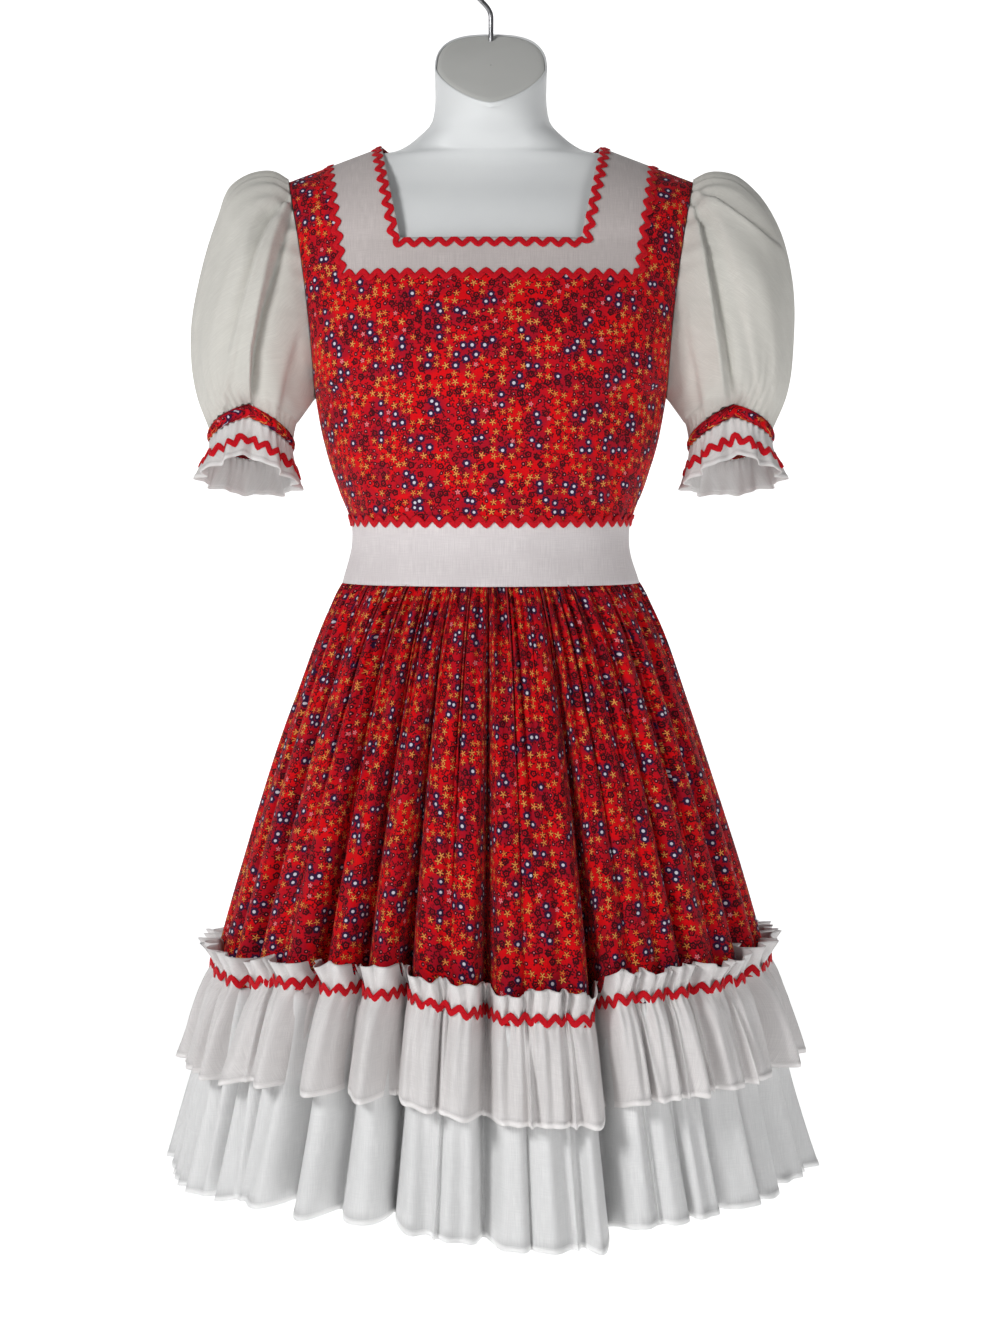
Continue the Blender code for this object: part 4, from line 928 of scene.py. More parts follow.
def split(rings, per_ridge):
    """The front and the back of cloth that hangs all round, cut at the side seams."""
    cut = FRONT_RIDGES * per_ridge
    return rings[:, : cut + 1], rings[:, cut:]


def gathered_flat(grid, middle, foot):
    """Places on the flat cloth of a gathered panel, whose threads run nearly straight down."""
    flat = laid_out(grid, middle, foot)
    down = np.linspace(0, 1, len(flat))
    girth = np.polyval(np.polyfit(down, np.ptp(flat[..., 0], axis=1), 2), down)
    share = 0.5 + 0.5 * girth / girth.max()
    flat[..., 0] = flat[int(len(flat) * 0.75), :, 0] * share[:, None]
    flat[..., 1] = np.median(flat[..., 1], axis=1)[:, None]
    return flat


PER_RIDGE = 24
skirt_drops = np.concatenate([
    [-0.004, -0.001],
    SKIRT_DROP * np.linspace(0, 1, 48) ** 1.25,
])
grown = np.clip(skirt_drops / SKIRT_DROP, 0, 1)
skirt_sizes = faired(FLARES[:, 0], FLARES[:, 1:], skirt_drops)
fine = 0.0024 * np.exp(-np.maximum(skirt_drops, 0) / 0.050)
long_fine = 0.0016 * np.sin(np.pi * np.clip(0.12 + grown * 1.25, 0, 1))


def from_waist(long):
    """A gather that starts under the band and dies out further down, the longer it is."""
    return np.clip(0.45 + grown * 12, 0, 1) / (1 + (grown / (0.10 + 0.75 * long)) ** 4)


skirt_rings = hanging(
    PER_RIDGE,
    BAND_BOTTOM - skirt_drops,
    skirt_sizes[:, 0] - fine,
    skirt_sizes[:, 1] - fine,
    grown**0.85,
    0.80 - 0.32 * grown**2,
    [
        (3.0, fine, lots(3, 0.5, 1.3)),
        (5.0, fine * 0.35, lots(5, -1.0, 1.0)),
        (2.0, long_fine, lots(2, -1.2, 1.2)),
    ],
    narrow_creases(124, 0.0118, from_waist, (0.045, 0.080)),
)
for side, grid in zip(("front", "back"), split(skirt_rings, PER_RIDGE)):
    # The back is cut from another stretch of the print
    flat = gathered_flat(grid, grid.shape[1] // 2, 0.0 if side == "front" else 1.7)
    keep = None
    if side == "back":
        middle = int(np.sum((RIDGES[:, 0] < 179.9)) - FRONT_RIDGES) * PER_RIDGE
        slit = (np.abs(np.arange(grid.shape[1]) - middle + 0.5) < 1)[None, :]
        keep = ~(slit & (skirt_drops < 0.110)[:, None])
        opened = skirt_drops < 0.112
        grid[opened, middle, 0] = 0.0
        for step in (1, -1):
            grid[opened, middle + step, 0] = -ZIP_HALF * step
    name = "skirt_print_" + side
    mesh = woven_mesh(name, grid, flat, keep)
    panel = with_wall(shown(name, mesh, printed, printed_back), lining=1)
    stands_for(panel, "skirt_" + side)

# Lower ruffle: a gathered strip of plain white cotton, cooler in tone than the yoke, with
# a narrow stitched hem. It is sewn to the skirt's edge and shows below the upper ruffle.

HEM = 0.0050
COOL_WHITE = (0.87, 0.87, 0.865, 1)
COOL_SHADE = (0.77, 0.77, 0.77, 1)
EDGE = BAND_BOTTOM - SKIRT_DROP
LOWER_FOOT = -1.1420
LOWER_PER_RIDGE = 24
# Height, half width, half depth and share of the skirt's folds
LOWER_TIERS = np.array([
    (EDGE, 0.2605, 0.2285, 1.00),
    (-0.9850, 0.2660, 0.2335, 1.00),
    (-1.0450, 0.2770, 0.2440, 1.02),
    (-1.1000, 0.2900, 0.2570, 1.06),
    (LOWER_FOOT, 0.3010, 0.2680, 1.10),
])


def to_hem(start, end, rows, hem=HEM):
    """Heights from a seam down to a hem, with rows set close on either side of its turning."""
    body = start + (end + hem - start) * np.linspace(0, 1, rows) ** 0.9
    return np.concatenate([body, [end + hem - 0.0003, end + hem * 0.5, end]])


def hem_turn(levels, end, hem=HEM):
    """How far the doubled cloth of the hem stands out."""
    return np.where(levels < end + hem - 0.0001, 0.0005, 0.0)


cool_cotton = white_cotton("cool_white_cotton", COOL_WHITE, COOL_SHADE, HEM)
levels = to_hem(EDGE, LOWER_FOOT, 24)
sizes = faired(-LOWER_TIERS[:, 0], LOWER_TIERS[:, 1:], -levels)
sunk = (EDGE - levels) / (EDGE - LOWER_FOOT)
turned = hem_turn(levels, LOWER_FOOT)


def from_edge(long):
    """A crease that deepens below the skirt's edge and dies out further down."""
    return np.clip(0.3 + sunk * 3, 0, 1) * (1 - 0.7 * long * sunk)


lower_rings = hanging(
    LOWER_PER_RIDGE,
    levels,
    sizes[:, 0] + turned,
    sizes[:, 1] + turned,
    sizes[:, 2],
    0.45 + 0.25 * sunk,
    [
        (6.0, 0.0018 * np.exp(-sunk / 0.20), lots(6, 0.3, 1.3)),
        (2.0, 0.0072 * sunk**0.8, lots(2, -1.0, 1.25)),
        (1.0, 0.0050 * sunk, lots(1, -1.0, 1.0)),
        (3.0, 0.0026 * np.sin(np.pi * np.clip(sunk, 0, 1)) ** 0.7, lots(3, -1.0, 1.2)),
    ],
    narrow_creases(78, 0.0125, from_edge, (0.08, 0.17)),
)
for side, grid in zip(("front", "back"), split(lower_rings, LOWER_PER_RIDGE)):
    name = "lower_ruffle_cotton_" + side
    mesh = woven_mesh(name, grid, gathered_flat(grid, grid.shape[1] // 2, 0.0))
    panel = with_wall(shown(name, mesh, cool_cotton))
    stands_for(panel, "lower_ruffle_" + side)

# Upper ruffle: a second gathered strip of white cotton, with a narrow hem. It is sewn on a
# little below its upper edge, so that a fluted header stands up above the stitching.

STITCH = -0.9510
HEADER = -0.9285
UPPER_FOOT = -1.0380
UPPER_PER_RIDGE = 32
RUFFLE_WHITE = (0.83, 0.805, 0.795, 1)
RUFFLE_SHADE = (0.72, 0.695, 0.69, 1)
ruffle_cotton = white_cotton("white_ruffle_cotton", RUFFLE_WHITE, RUFFLE_SHADE, HEM)
# Height, stand-off from the skirt's outline, share of the skirt's folds, and pinch
UPPER_TIERS = np.array([
    (HEADER, 0.0150, 0.84, 0.60),
    (-0.9380, 0.0088, 0.90, 0.60),
    (STITCH + 0.004, 0.0034, 0.92, 0.62),
    (STITCH, 0.0028, 0.92, 0.62),
    (STITCH - 0.004, 0.0036, 0.92, 0.62),
    (-0.9660, 0.0080, 0.94, 0.60),
    (-0.9860, 0.0120, 0.96, 0.58),
    (-1.0120, 0.0145, 1.00, 0.56),
    (UPPER_FOOT, 0.0155, 1.00, 0.54),
])
header_levels = np.array([
    HEADER, HEADER - 0.0018, -0.9320, -0.9342, -0.9364, -0.9386, -0.9408, -0.9430, -0.9452,
    -0.9472, -0.9492,
])
levels = np.concatenate([header_levels, to_hem(STITCH, UPPER_FOOT, 19)])
tiers = faired(-UPPER_TIERS[:, 0], UPPER_TIERS[:, 1:], -levels)
under = np.clip(BAND_BOTTOM - levels, 0, 0.44)
outline = faired(
    [0.0, 0.240, 0.339, 0.365, 0.394, 0.446],
    [
        (0.140, 0.106), (0.2265, 0.196), (0.2545, 0.223), (0.2610, 0.229), (0.2655, 0.2335),
        (0.277, 0.245),
    ],
    under,
)
below = np.clip((STITCH - levels) / (STITCH - UPPER_FOOT), 0, 1)
above = np.clip((levels - STITCH) / (HEADER - STITCH), 0, 1)
turned = hem_turn(levels, UPPER_FOOT)
gather = 0.0022 * np.exp(-below / 0.30) * np.exp(-above / 0.8)


def from_stitching(long):
    """A crease that starts at the stitching and dies out further down."""
    return np.clip(below * 9, 0, 1) * (1 - (0.4 + 0.5 * long) * below)


upper_rings = hanging(
    UPPER_PER_RIDGE,
    levels,
    outline[:, 0] + tiers[:, 0] + turned,
    outline[:, 1] + tiers[:, 0] + turned,
    tiers[:, 1] * (BAND_BOTTOM - np.maximum(levels, EDGE)) ** 0.85 / SKIRT_DROP**0.85,
    tiers[:, 2],
    [
        (7.0, gather, lots(7, 0.2, 1.4)),
        (2.0, 0.0080 * below**0.8, lots(2, -1.0, 1.3)),
        (1.0, 0.0034 * below, lots(1, -1.0, 1.0)),
        (3.0, 0.0046 * np.sin(np.pi * below) ** 0.7, lots(3, -1.1, 1.2)),
        (3.0, 0.0074 * above**0.8, lots(3, 0.4, 1.3)),
        (2.0, 0.0030 * above, lots(2, -1.0, 1.0)),
    ],
    narrow_creases(100, 0.0105, from_stitching, (0.06, 0.13)),
)
# The header's flutes curl sideways and stand at uneven heights
places = np.arange(upper_rings.shape[1]) / UPPER_PER_RIDGE
curl = np.interp(places * 1.7, np.arange(80), chance.uniform(0.3, 1.0, 80)) * np.sin(6 * np.pi * places)
sideways = np.gradient(upper_rings, axis=1)
sideways /= np.linalg.norm(sideways, axis=2, keepdims=True)
upper_rings = upper_rings + sideways * (0.0056 * above[:, None] ** 1.1 * curl)[..., None]
tossed = np.interp(places * 4.3, np.arange(200), chance.uniform(-1, 1, 200))
upper_rings[..., 2] += 0.0050 * above[:, None] ** 1.5 * tossed
upper_rings[:, -1] = upper_rings[:, 0]
for side, grid in zip(("front", "back"), split(upper_rings, UPPER_PER_RIDGE)):
    name = "upper_ruffle_cotton_" + side
    mesh = woven_mesh(name, grid, gathered_flat(grid, grid.shape[1] // 2, 0.0))
    panel = with_wall(shown(name, mesh, ruffle_cotton))
    stands_for(panel, "upper_ruffle_" + side)

# Sleeves: short and full, of off-white cotton. They are gathered into the armhole over the
# shoulder and again into the cuff band, so that they stand out in soft folds.

SLEEVE_WHITE = (0.68, 0.665, 0.615, 1)
SLEEVE_SHADE = (0.60, 0.585, 0.54, 1)
# Outer x and z, inner x and z, half depth, and how far the front is lifted
RIGHT_SLEEVE_RUN = np.array([
    (0.1905, -0.2147, 0.1655, -0.4190, 0.0480, 0.000),
    (0.2040, -0.2075, 0.1675, -0.4215, 0.0540, 0.000),
    (0.2270, -0.2085, 0.1700, -0.4250, 0.0600, 0.000),
    (0.2500, -0.2260, 0.1725, -0.4285, 0.0650, 0.000),
    (0.2690, -0.2560, 0.1755, -0.4320, 0.0680, 0.002),
    (0.2820, -0.3030, 0.1785, -0.4355, 0.0690, 0.004),
    (0.2840, -0.3650, 0.1815, -0.4390, 0.0640, 0.007),
    (0.2770, -0.4180, 0.1845, -0.4430, 0.0530, 0.010),
    (0.2640, -0.4480, 0.1880, -0.4540, 0.0400, 0.013),
])
LEFT_SLEEVE_RUN = RIGHT_SLEEVE_RUN.copy()
LEFT_SLEEVE_RUN[1:8, :2] = (
    (0.2040, -0.2065), (0.2250, -0.2075), (0.2445, -0.2195), (0.2570, -0.2500),
    (0.2725, -0.3030), (0.2815, -0.3620), (0.2755, -0.4180),
)
# Creases of each sleeve: width, how far its sharp edge takes to fall, and x, z and depth
# along it. The cloth stands up on the left of the line's run and lies deep on its right.
CRISP, SOFT = 0.0013, 0.0050
RIGHT_CREASES = (
    (0.0075, CRISP, ((0.2210, -0.4350, 0.007), (0.2180, -0.4100, 0.011), (0.2120, -0.3700, 0.011),
                     (0.2055, -0.3260, 0.011), (0.1990, -0.2850, 0.010), (0.1940, -0.2560, 0.007),
                     (0.1880, -0.2380, 0.002))),
    (0.0060, CRISP, ((0.2760, -0.2820, 0.003), (0.2620, -0.2720, 0.006), (0.2370, -0.2540, 0.008),
                     (0.2090, -0.2330, 0.006), (0.1930, -0.2260, 0.002))),
    (0.0070, SOFT, ((0.1880, -0.2300, 0.002), (0.2060, -0.2560, 0.006), (0.2230, -0.3050, 0.005),
                    (0.2360, -0.3600, 0.004), (0.2480, -0.4200, 0.003))),
    (0.0075, SOFT, ((0.1750, -0.3200, 0.000), (0.1830, -0.3700, 0.004), (0.1960, -0.4250, 0.005))),
    (0.0060, SOFT, ((0.2560, -0.3500, 0.000), (0.2610, -0.3900, 0.004), (0.2590, -0.4300, 0.003))),
)
LEFT_CREASES = (
    (0.0075, CRISP, ((0.1850, -0.2330, 0.002), (0.1900, -0.2500, 0.007), (0.1960, -0.2710, 0.011),
                     (0.2030, -0.3010, 0.012), (0.2116, -0.3380, 0.012), (0.2185, -0.3750, 0.012),
                     (0.2208, -0.4080, 0.012), (0.2220, -0.4350, 0.007))),
    (0.0058, CRISP, ((0.2400, -0.3750, 0.001), (0.2300, -0.3350, 0.004), (0.2210, -0.3050, 0.006),
                     (0.2127, -0.2756, 0.007), (0.2023, -0.2500, 0.006), (0.1880, -0.2330, 0.002))),
    (0.0080, SOFT, ((0.1900, -0.2290, 0.002), (0.2090, -0.2430, 0.006), (0.2190, -0.2620, 0.006),
                    (0.2230, -0.2780, 0.001))),
    (0.0075, SOFT, ((0.2230, -0.3300, 0.000), (0.2330, -0.3800, 0.005), (0.2450, -0.4280, 0.005))),
    (0.0065, SOFT, ((0.1760, -0.3500, 0.000), (0.1850, -0.3900, 0.006), (0.1960, -0.4300, 0.006))),
)
SLEEVE_COLUMNS, SLEEVE_ROWS = 248, 84


def arm_rings(run, columns):
    """Rings round the right arm, from the outer side by the back to the body's side."""
    turn = 2 * np.pi * np.arange(columns) / columns
    sine, cosine = np.sin(turn)[None, :, None], np.cos(turn)[None, :, None]
    outer = np.stack([run[:, 0], 0 * run[:, 0], run[:, 1]], axis=1)[:, None]
    inner = np.stack([run[:, 2], 0 * run[:, 0], run[:, 3]], axis=1)[:, None]
    across = np.stack([0 * run[:, 4], run[:, 4], -run[:, 5]], axis=1)[:, None]
    return (outer + inner) / 2 + (outer - inner) / 2 * cosine + across * sine, turn


def closed_flat(rings, foot=0.0):
    """Places on the flat cloth of a tube, opened along its first column."""
    again = np.concatenate([rings, rings[:, :1]], axis=1)
    flat = laid_out(again, 0, foot)
    widest = flat[:, -1:, 0].max()
    flat[..., 0] *= 0.5 + 0.5 * widest / np.maximum(flat[:, -1:, 0], 1e-6)
    return flat


def both_arms(name, right, left, finishes, node, foot=0.0, lining=0):
    """The two pieces of a sleeve or cuff. The left one's shape is given as for the right."""
    made = []
    for side, rings in (("right", right), ("left", left)):
        flat = closed_flat(rings, foot)
        if side == "left":
            rings, flat = other_side(rings), flat[:, ::-1] * np.array([-1.0, 1.0])
        mesh = woven_mesh(name + "_" + side, rings, flat, closed=True)
        piece = with_wall(shown(name + "_" + side, mesh, *finishes), lining=lining)
        made.append(stands_for(piece, node + "_" + side))
    return made


def beside(rings, line):
    """How far each point lies outside a crease's line, and how deep the crease is there."""
    nearest = np.full(rings.shape[:2], 9.0)
    outside, depth = nearest.copy(), np.zeros(rings.shape[:2])
    for (x0, z0, d0), (x1, z1, d1) in zip(line[:-1], line[1:]):
        run = np.array([x1 - x0, z1 - z0])
        reach = rings[..., [0, 2]] - np.array([x0, z0])
        t = np.clip(reach @ run / (run @ run), 0, 1)
        gap = np.linalg.norm(reach - t[..., None] * run, axis=-1)
        nearer = gap < nearest
        side = np.sign(run[0] * reach[..., 1] - run[1] * reach[..., 0])
        nearest = np.where(nearer, gap, nearest)
        outside = np.where(nearer, gap * side, outside)
        depth = np.where(nearer, d0 + (d1 - d0) * t, depth)
    return outside, depth


CUFF_PEAK = 0.0135


def arm_gathers(turn):
    """Small gathers all round the cuff band, some closer together than others."""
    return np.cos(34 * turn + 1.5 * np.sin(5 * turn))


def peaked(rings, turn, share):
    """Lifts the front of a sleeve's edge to a peak, and draws it in, where it is creased."""
    off_front = (turn - 1.5 * np.pi + np.pi) % (2 * np.pi) - np.pi
    rise = np.maximum(0.0, -np.sin(turn)) ** 0.4 * (1 - np.abs(np.cos(turn))) ** 0.9
    rings[..., 2] += CUFF_PEAK * rise * share
    rings[..., 1] += 0.0080 * np.exp(-((off_front / 0.30) ** 2)) * share
    return rings


def swollen(rings, folds):
    """Rings with each point moved in or out from their middle."""
    middle = rings.mean(axis=1, keepdims=True)
    arm = rings - middle
    return middle + arm * (1 + folds / np.linalg.norm(arm, axis=2))[..., None]


def puffed(run, creases):
    """The shape of one sleeve, as a right one, with its gathers and creases."""
    station = run_along(run[:, :2])
    down = station[-1] * (0.5 - 0.5 * np.cos(np.pi * np.linspace(0, 1, SLEEVE_ROWS))) ** 0.9
    rings, turn = arm_rings(faired(station, run, down), SLEEVE_COLUMNS)
    from_seam, from_cuff = down[:, None], station[-1] - down[:, None]
    share = (rings[0, :, 2] - UNDERARM[1]) / (SHOULDER_TIP[1] - UNDERARM[1])
    rings[..., 0] -= 4 * ARMHOLE_BOW * share * (1 - share) * np.exp(-from_seam / 0.020)
    over_top = (0.5 + 0.5 * np.cos(turn)) ** 0.7
    fullness = np.sin(np.pi * np.clip(from_seam / station[-1], 0, 1)) ** 0.6
    wander = 0.35 * np.sin(2 * turn + 0.6) + 0.8 * from_seam / station[-1] * np.sin(turn)
    folds = 0.0030 * np.exp(-from_seam / 0.026) * over_top**3 * np.cos(30 * turn + 2 * np.sin(3 * turn))
    folds = folds + fullness * 0.0016 * np.sin(7 * (turn + wander) + 0.5)
    folds = folds + fullness * 0.0008 * np.sin(13 * (turn + 0.4 * wander) + 0.9)
    facing = np.clip(np.abs(np.sin(turn)) * 1.7, 0, 1) ** 1.3
    for wide, edge, line in creases:
        outside, depth = beside(rings, line)
        standing = 0.5 + 0.5 * np.tanh(outside / edge)
        away = np.abs(outside) / wide
        fold = 0.65 * np.exp(-away / 1.5) * standing - 1.25 * np.exp(-away) * (1 - standing)
        folds = folds + depth * fold * facing * np.where(np.sin(turn) < 0, 1.0, 0.6)
    pull = np.exp(-from_cuff / 0.026) * (0.7 + 0.3 * np.sin(3 * turn))
    folds = folds + 0.0024 * pull * arm_gathers(turn)
    return peaked(swollen(rings, folds), turn, np.exp(-from_cuff / 0.045))


sleeve_cotton = white_cotton("off_white_cotton", SLEEVE_WHITE, SLEEVE_SHADE)
sleeves = both_arms(
    "sleeve_cotton",
    puffed(RIGHT_SLEEVE_RUN, RIGHT_CREASES),
    puffed(LEFT_SLEEVE_RUN, LEFT_CREASES),
    [sleeve_cotton],
    "sleeve",
)

# Cuffs: a narrow band of the printed cotton that the sleeve is gathered into. Below it
# hangs a short ruffle of white cotton with rickrack above its hem.

# Outer x and z, inner x and z, half depth, and lift of the front
CUFF_BAND_RUN = np.array([
    (0.2640, -0.4482, 0.1880, -0.4542, 0.0400, 0.013),
    (0.2665, -0.4530, 0.1860, -0.4590, 0.0420, 0.013),
    (0.2665, -0.4580, 0.1858, -0.4640, 0.0420, 0.013),
    (0.2650, -0.4605, 0.1870, -0.4665, 0.0400, 0.013),
])
CUFF_RUFFLE_RUN = np.array([
    (0.2645, -0.4605, 0.1875, -0.4665, 0.0395, 0.013),
    (0.2660, -0.4690, 0.1862, -0.4750, 0.0415, 0.013),
    (0.2695, -0.4790, 0.1848, -0.4850, 0.0445, 0.013),
    (0.2745, -0.4950, 0.1825, -0.5010, 0.0480, 0.012),
])
CUFF_HEM = 0.0040

band_run = faired([0, 0.35, 0.75, 1.0], CUFF_BAND_RUN, np.linspace(0, 1, 12))
cuff_rings, turn = arm_rings(band_run, 180)
bulge = np.sin(np.linspace(0, np.pi, 12))[:, None] ** 0.3
puckered = 0.0009 * arm_gathers(turn) * bulge
cuff_rings = peaked(swollen(cuff_rings, puckered), turn, 1.0)
cuff_bands = both_arms(
    "cuff_band_print",
    cuff_rings,
    cuff_rings,
    [printed, printed_back],
    "cuff_band",
    foot=2.6,
    lining=1,
)

cuff_cotton = white_cotton("cuff_cotton", (0.72, 0.70, 0.69, 1), (0.64, 0.62, 0.61, 1), CUFF_HEM)
cuff_down = np.concatenate([np.linspace(0, 0.88, 18), [0.889, 0.94, 1.0]])
ruffle_run = faired([0, 0.25, 0.54, 1.0], CUFF_RUFFLE_RUN, cuff_down)
frill_rings, turn = arm_rings(ruffle_run, 210)
fallen = cuff_down[:, None]
frill = (
    0.0012 * np.exp(-fallen / 0.25) * arm_gathers(turn)
    + 0.0048 * fallen**1.2 * np.cos(9 * turn + 0.8 * np.sin(2 * turn))
    + 0.0022 * fallen * np.cos(17 * turn + 1.1)
    + np.where(fallen > 0.885, 0.0004, 0.0)
)
frill_rings = peaked(swollen(frill_rings, frill), turn, 1.0)
cuff_ruffles = both_arms(
    "cuff_ruffle_cotton", frill_rings, frill_rings, [cuff_cotton], "cuff_ruffle"
)

# Rickrack: a flat red cotton braid woven in a zigzag, about 15 mm from wave to wave. It is
# sewn down its middle along the neck, the yoke, the waist, the cuffs and the gathering of
# the upper ruffle.

BRAID_PITCH = 0.0145
BRAID_RISE = 0.0032
BRAID_WIDTH = 0.0056
BRAID_THICK = 0.0011
BRAID_SECTION = np.array([
    (-1.0, 0.25), (-0.82, 0.80), (-0.45, 1.0), (0.0, 1.05), (0.45, 1.0), (0.82, 0.80),
    (1.0, 0.25), (0.8, -0.1), (-0.8, -0.1),
])
STEPS = 16  # rings of the braid to each wave
RIB_PITCH = 0.00085


def red_braid():
    """Woven red braid: slanting ribs, and a line of stitches down the middle of its run."""
    tree, shader, material = finish("red_rickrack", 0.72, 0.03, 0.15)
    place = on_cloth(tree)
    along, side, _ = parts_of(place)
    slant = number("MULTIPLY_ADD", number("ABSOLUTE", side), 0.9, along)
    rib = number("SINE", times(slant, 2 * math.pi / RIB_PITCH))
    rib = eased(rib, -1.0, 1.0)
    wear = grain(place, 300.0)
    # The ribs are painted darker where they sink and lighter where they rise: painted shade and light on their
    # relief.
    colour = tinted(rib, (0.46, 0.002, 0.008, 1), (0.70, 0.003, 0.014, 1))
    colour = tinted(times(eased(wear, 0.5, 0.8), 0.25), colour, (0.75, 0.015, 0.03, 1))
    along, side, _ = parts_of(on_cloth(tree, "sewing"))
    row_of = within(number("ABSOLUTE", side), 0.00028, 0.0001)
    step = number("SINE", times(along, 2 * math.pi / STITCH_LENGTH))
    stitch = times(row_of, eased(step, -0.5, -0.1))
    # The stitches are painted dark: painted shade in their dents.
    colour = tinted(times(stitch, 0.6), colour, (0.26, 0.0, 0.008, 1))
    tree.links.new(colour, shader.inputs[0])
    relief(shader, number("MULTIPLY_ADD", stitch, -1.5, rib), 0.00016)
    return material


rickrack = red_braid()


def laid_braid(name, node, path, outward, closed, surface=None, lift=0.0006, pitch=BRAID_PITCH):
    """A zigzag braid along a path over cloth. outward gives the way off the cloth there."""
    if closed:
        path, outward = np.vstack([path, path[:1]]), np.vstack([outward, outward[:1]])
    run = run_along(path)
    waves = max(2, round(run[-1] / pitch))
    count = waves * STEPS + (0 if closed else 1)
    along = np.arange(count) * run[-1] / (waves * STEPS)
    base = np.stack([np.interp(along, run, path[:, i]) for i in range(3)], axis=1)
    off = np.stack([np.interp(along, run, outward[:, i]) for i in range(3)], axis=1)
    off /= np.linalg.norm(off, axis=1, keepdims=True)
    if closed:
        forward = np.roll(base, -1, axis=0) - np.roll(base, 1, axis=0)
    else:
        forward = np.gradient(base, axis=0)
    forward /= np.linalg.norm(forward, axis=1, keepdims=True)
    across = np.cross(off, forward)
    across /= np.linalg.norm(across, axis=1, keepdims=True)
    phase = 2 * np.pi * along * waves / run[-1]
    rise = BRAID_RISE * (np.sin(phase) - np.sin(3 * phase) / 9 + np.sin(5 * phase) / 40)
    slope = BRAID_RISE * (np.cos(phase) - np.cos(3 * phase) / 3 + np.cos(5 * phase) / 8)
    slope = slope * 2 * np.pi * waves / run[-1]
    tilt = 1 / np.hypot(1, slope)
    side_way = across * tilt[:, None] - forward * (slope * tilt)[:, None]
    centre = base + across * rise[:, None]
    rings = np.empty((count, len(BRAID_SECTION), 3))
    for j, (side, height) in enumerate(BRAID_SECTION):
        spots = centre + side_way * (side * BRAID_WIDTH / 2)
        if surface is not None:
            for i in range(count):
                found, normal, _, _ = surface.find_nearest(Vector(spots[i] + SHOULDER_LINE))
                if normal.dot(Vector(off[i])) < 0:
                    normal = -normal
                spots[i] = np.array(found + normal * lift) - SHOULDER_LINE
        else:
            spots = spots + off * lift
        rings[:, j] = spots + off * (height * BRAID_THICK)
    if closed:
        rings = np.concatenate([rings, rings[:1]])
        along = np.append(along, run[-1])
        rise = np.append(rise, rise[0])
    lengthwise = run_along(rings[:, 3])
    sides = np.append(BRAID_SECTION[:, 0], BRAID_SECTION[0, 0]) * BRAID_WIDTH / 2
    flat = np.stack(np.broadcast_arrays(lengthwise[:, None], sides[None, :]), axis=2)
    mesh = woven_mesh(name, rings, flat, closed=True)
    sewing = mesh.uv_layers.new(name="sewing")
    r, c = np.meshgrid(np.arange(len(rings) - 1), np.arange(len(BRAID_SECTION)), indexing="ij")
    r, c = r.ravel(), c.ravel()
    offset = rise[:, None] + sides[None, :]
    corners = [(r, c), (r + 1, c), (r + 1, c + 1), (r, c + 1)]
    places = np.stack([np.stack([along[a], offset[a, b]], axis=1) for a, b in corners], axis=1)
    sewing.data.foreach_set("uv", places.astype(np.float32).ravel())
    return stands_for(shown(name, mesh, rickrack), node)


def surface_of(*meshes):
    """The outer faces of some panels, to lay braid on."""
    spots, faces = [], []
    for mesh in meshes:
        start = len(spots)
        spots += [vertex.co.copy() for vertex in mesh.vertices]
        faces += [[start + i for i in face.vertices] for face in mesh.polygons]
    return BVHTree.FromPolygons(spots, faces)


def off_body(path):
    """The level way off the body at each point of a path, more upwards on the shoulder."""
    way = path.copy()
    way[:, 2] = 0.0
    way[:, 0] *= 0.45
    lifted = np.clip((path[:, 2] - NECK_EDGE) / (NECK_POINT[1] - NECK_EDGE), 0, 1) ** 1.5
    way /= np.linalg.norm(way, axis=1, keepdims=True)
    way[:, 2] = lifted * 1.2
    return way / np.linalg.norm(way, axis=1, keepdims=True)


CORNER = 13  # millimetres of braid over which each corner is turned


def round_the_neck(columns, bottom, inset):
    """Down one side of the front, across and up the other, along lines of its grid."""
    left, right = columns
    down_left = front_grid[: bottom + 1, left] + np.array([-inset, 0, 0])
    level = front_grid[bottom, left + 1 : right] + np.array([0, 0, -inset])
    up_right = front_grid[bottom::-1, right] + np.array([inset, 0, 0])
    down_left[-1, 2] -= inset
    up_right[0, 2] -= inset
    path = np.vstack([down_left, level, up_right])[2:-2]
    run = run_along(path)
    steps = np.arange(0, run[-1], 0.001)
    even = np.stack([np.interp(steps, run, path[:, i]) for i in range(3)], axis=1)
    held = np.concatenate([even[:1].repeat(CORNER // 2, 0), even, even[-1:].repeat(CORNER // 2, 0)])
    even_shares = np.ones(CORNER) / CORNER
    return np.stack([np.convolve(held[:, i], even_shares, "valid") for i in range(3)], axis=1)


chest = surface_of(front_mesh, yoke_mesh)
neck_path = round_the_neck((SIDE + STRAP, SIDE + STRAP + 2 * INNER), TOP_ROWS, 0.0050)
neck_braid = laid_braid("neck_braid", "neck_rickrack", neck_path, off_body(neck_path), False, chest)
yoke_path = round_the_neck((SIDE, SIDE + 2 * (STRAP + INNER)), TOP_ROWS + BIB_ROWS, 0.0)
yoke_braid = laid_braid("yoke_braid", "yoke_rickrack", yoke_path, off_body(yoke_path), False, chest)
waist = surface_of(front_mesh, band_mesh, *[panel.data for panel in backs])
waist_path = band_grid[0]
waist_braid = laid_braid(
    "waist_braid", "waist_rickrack", waist_path, off_body(waist_path), False, waist
)

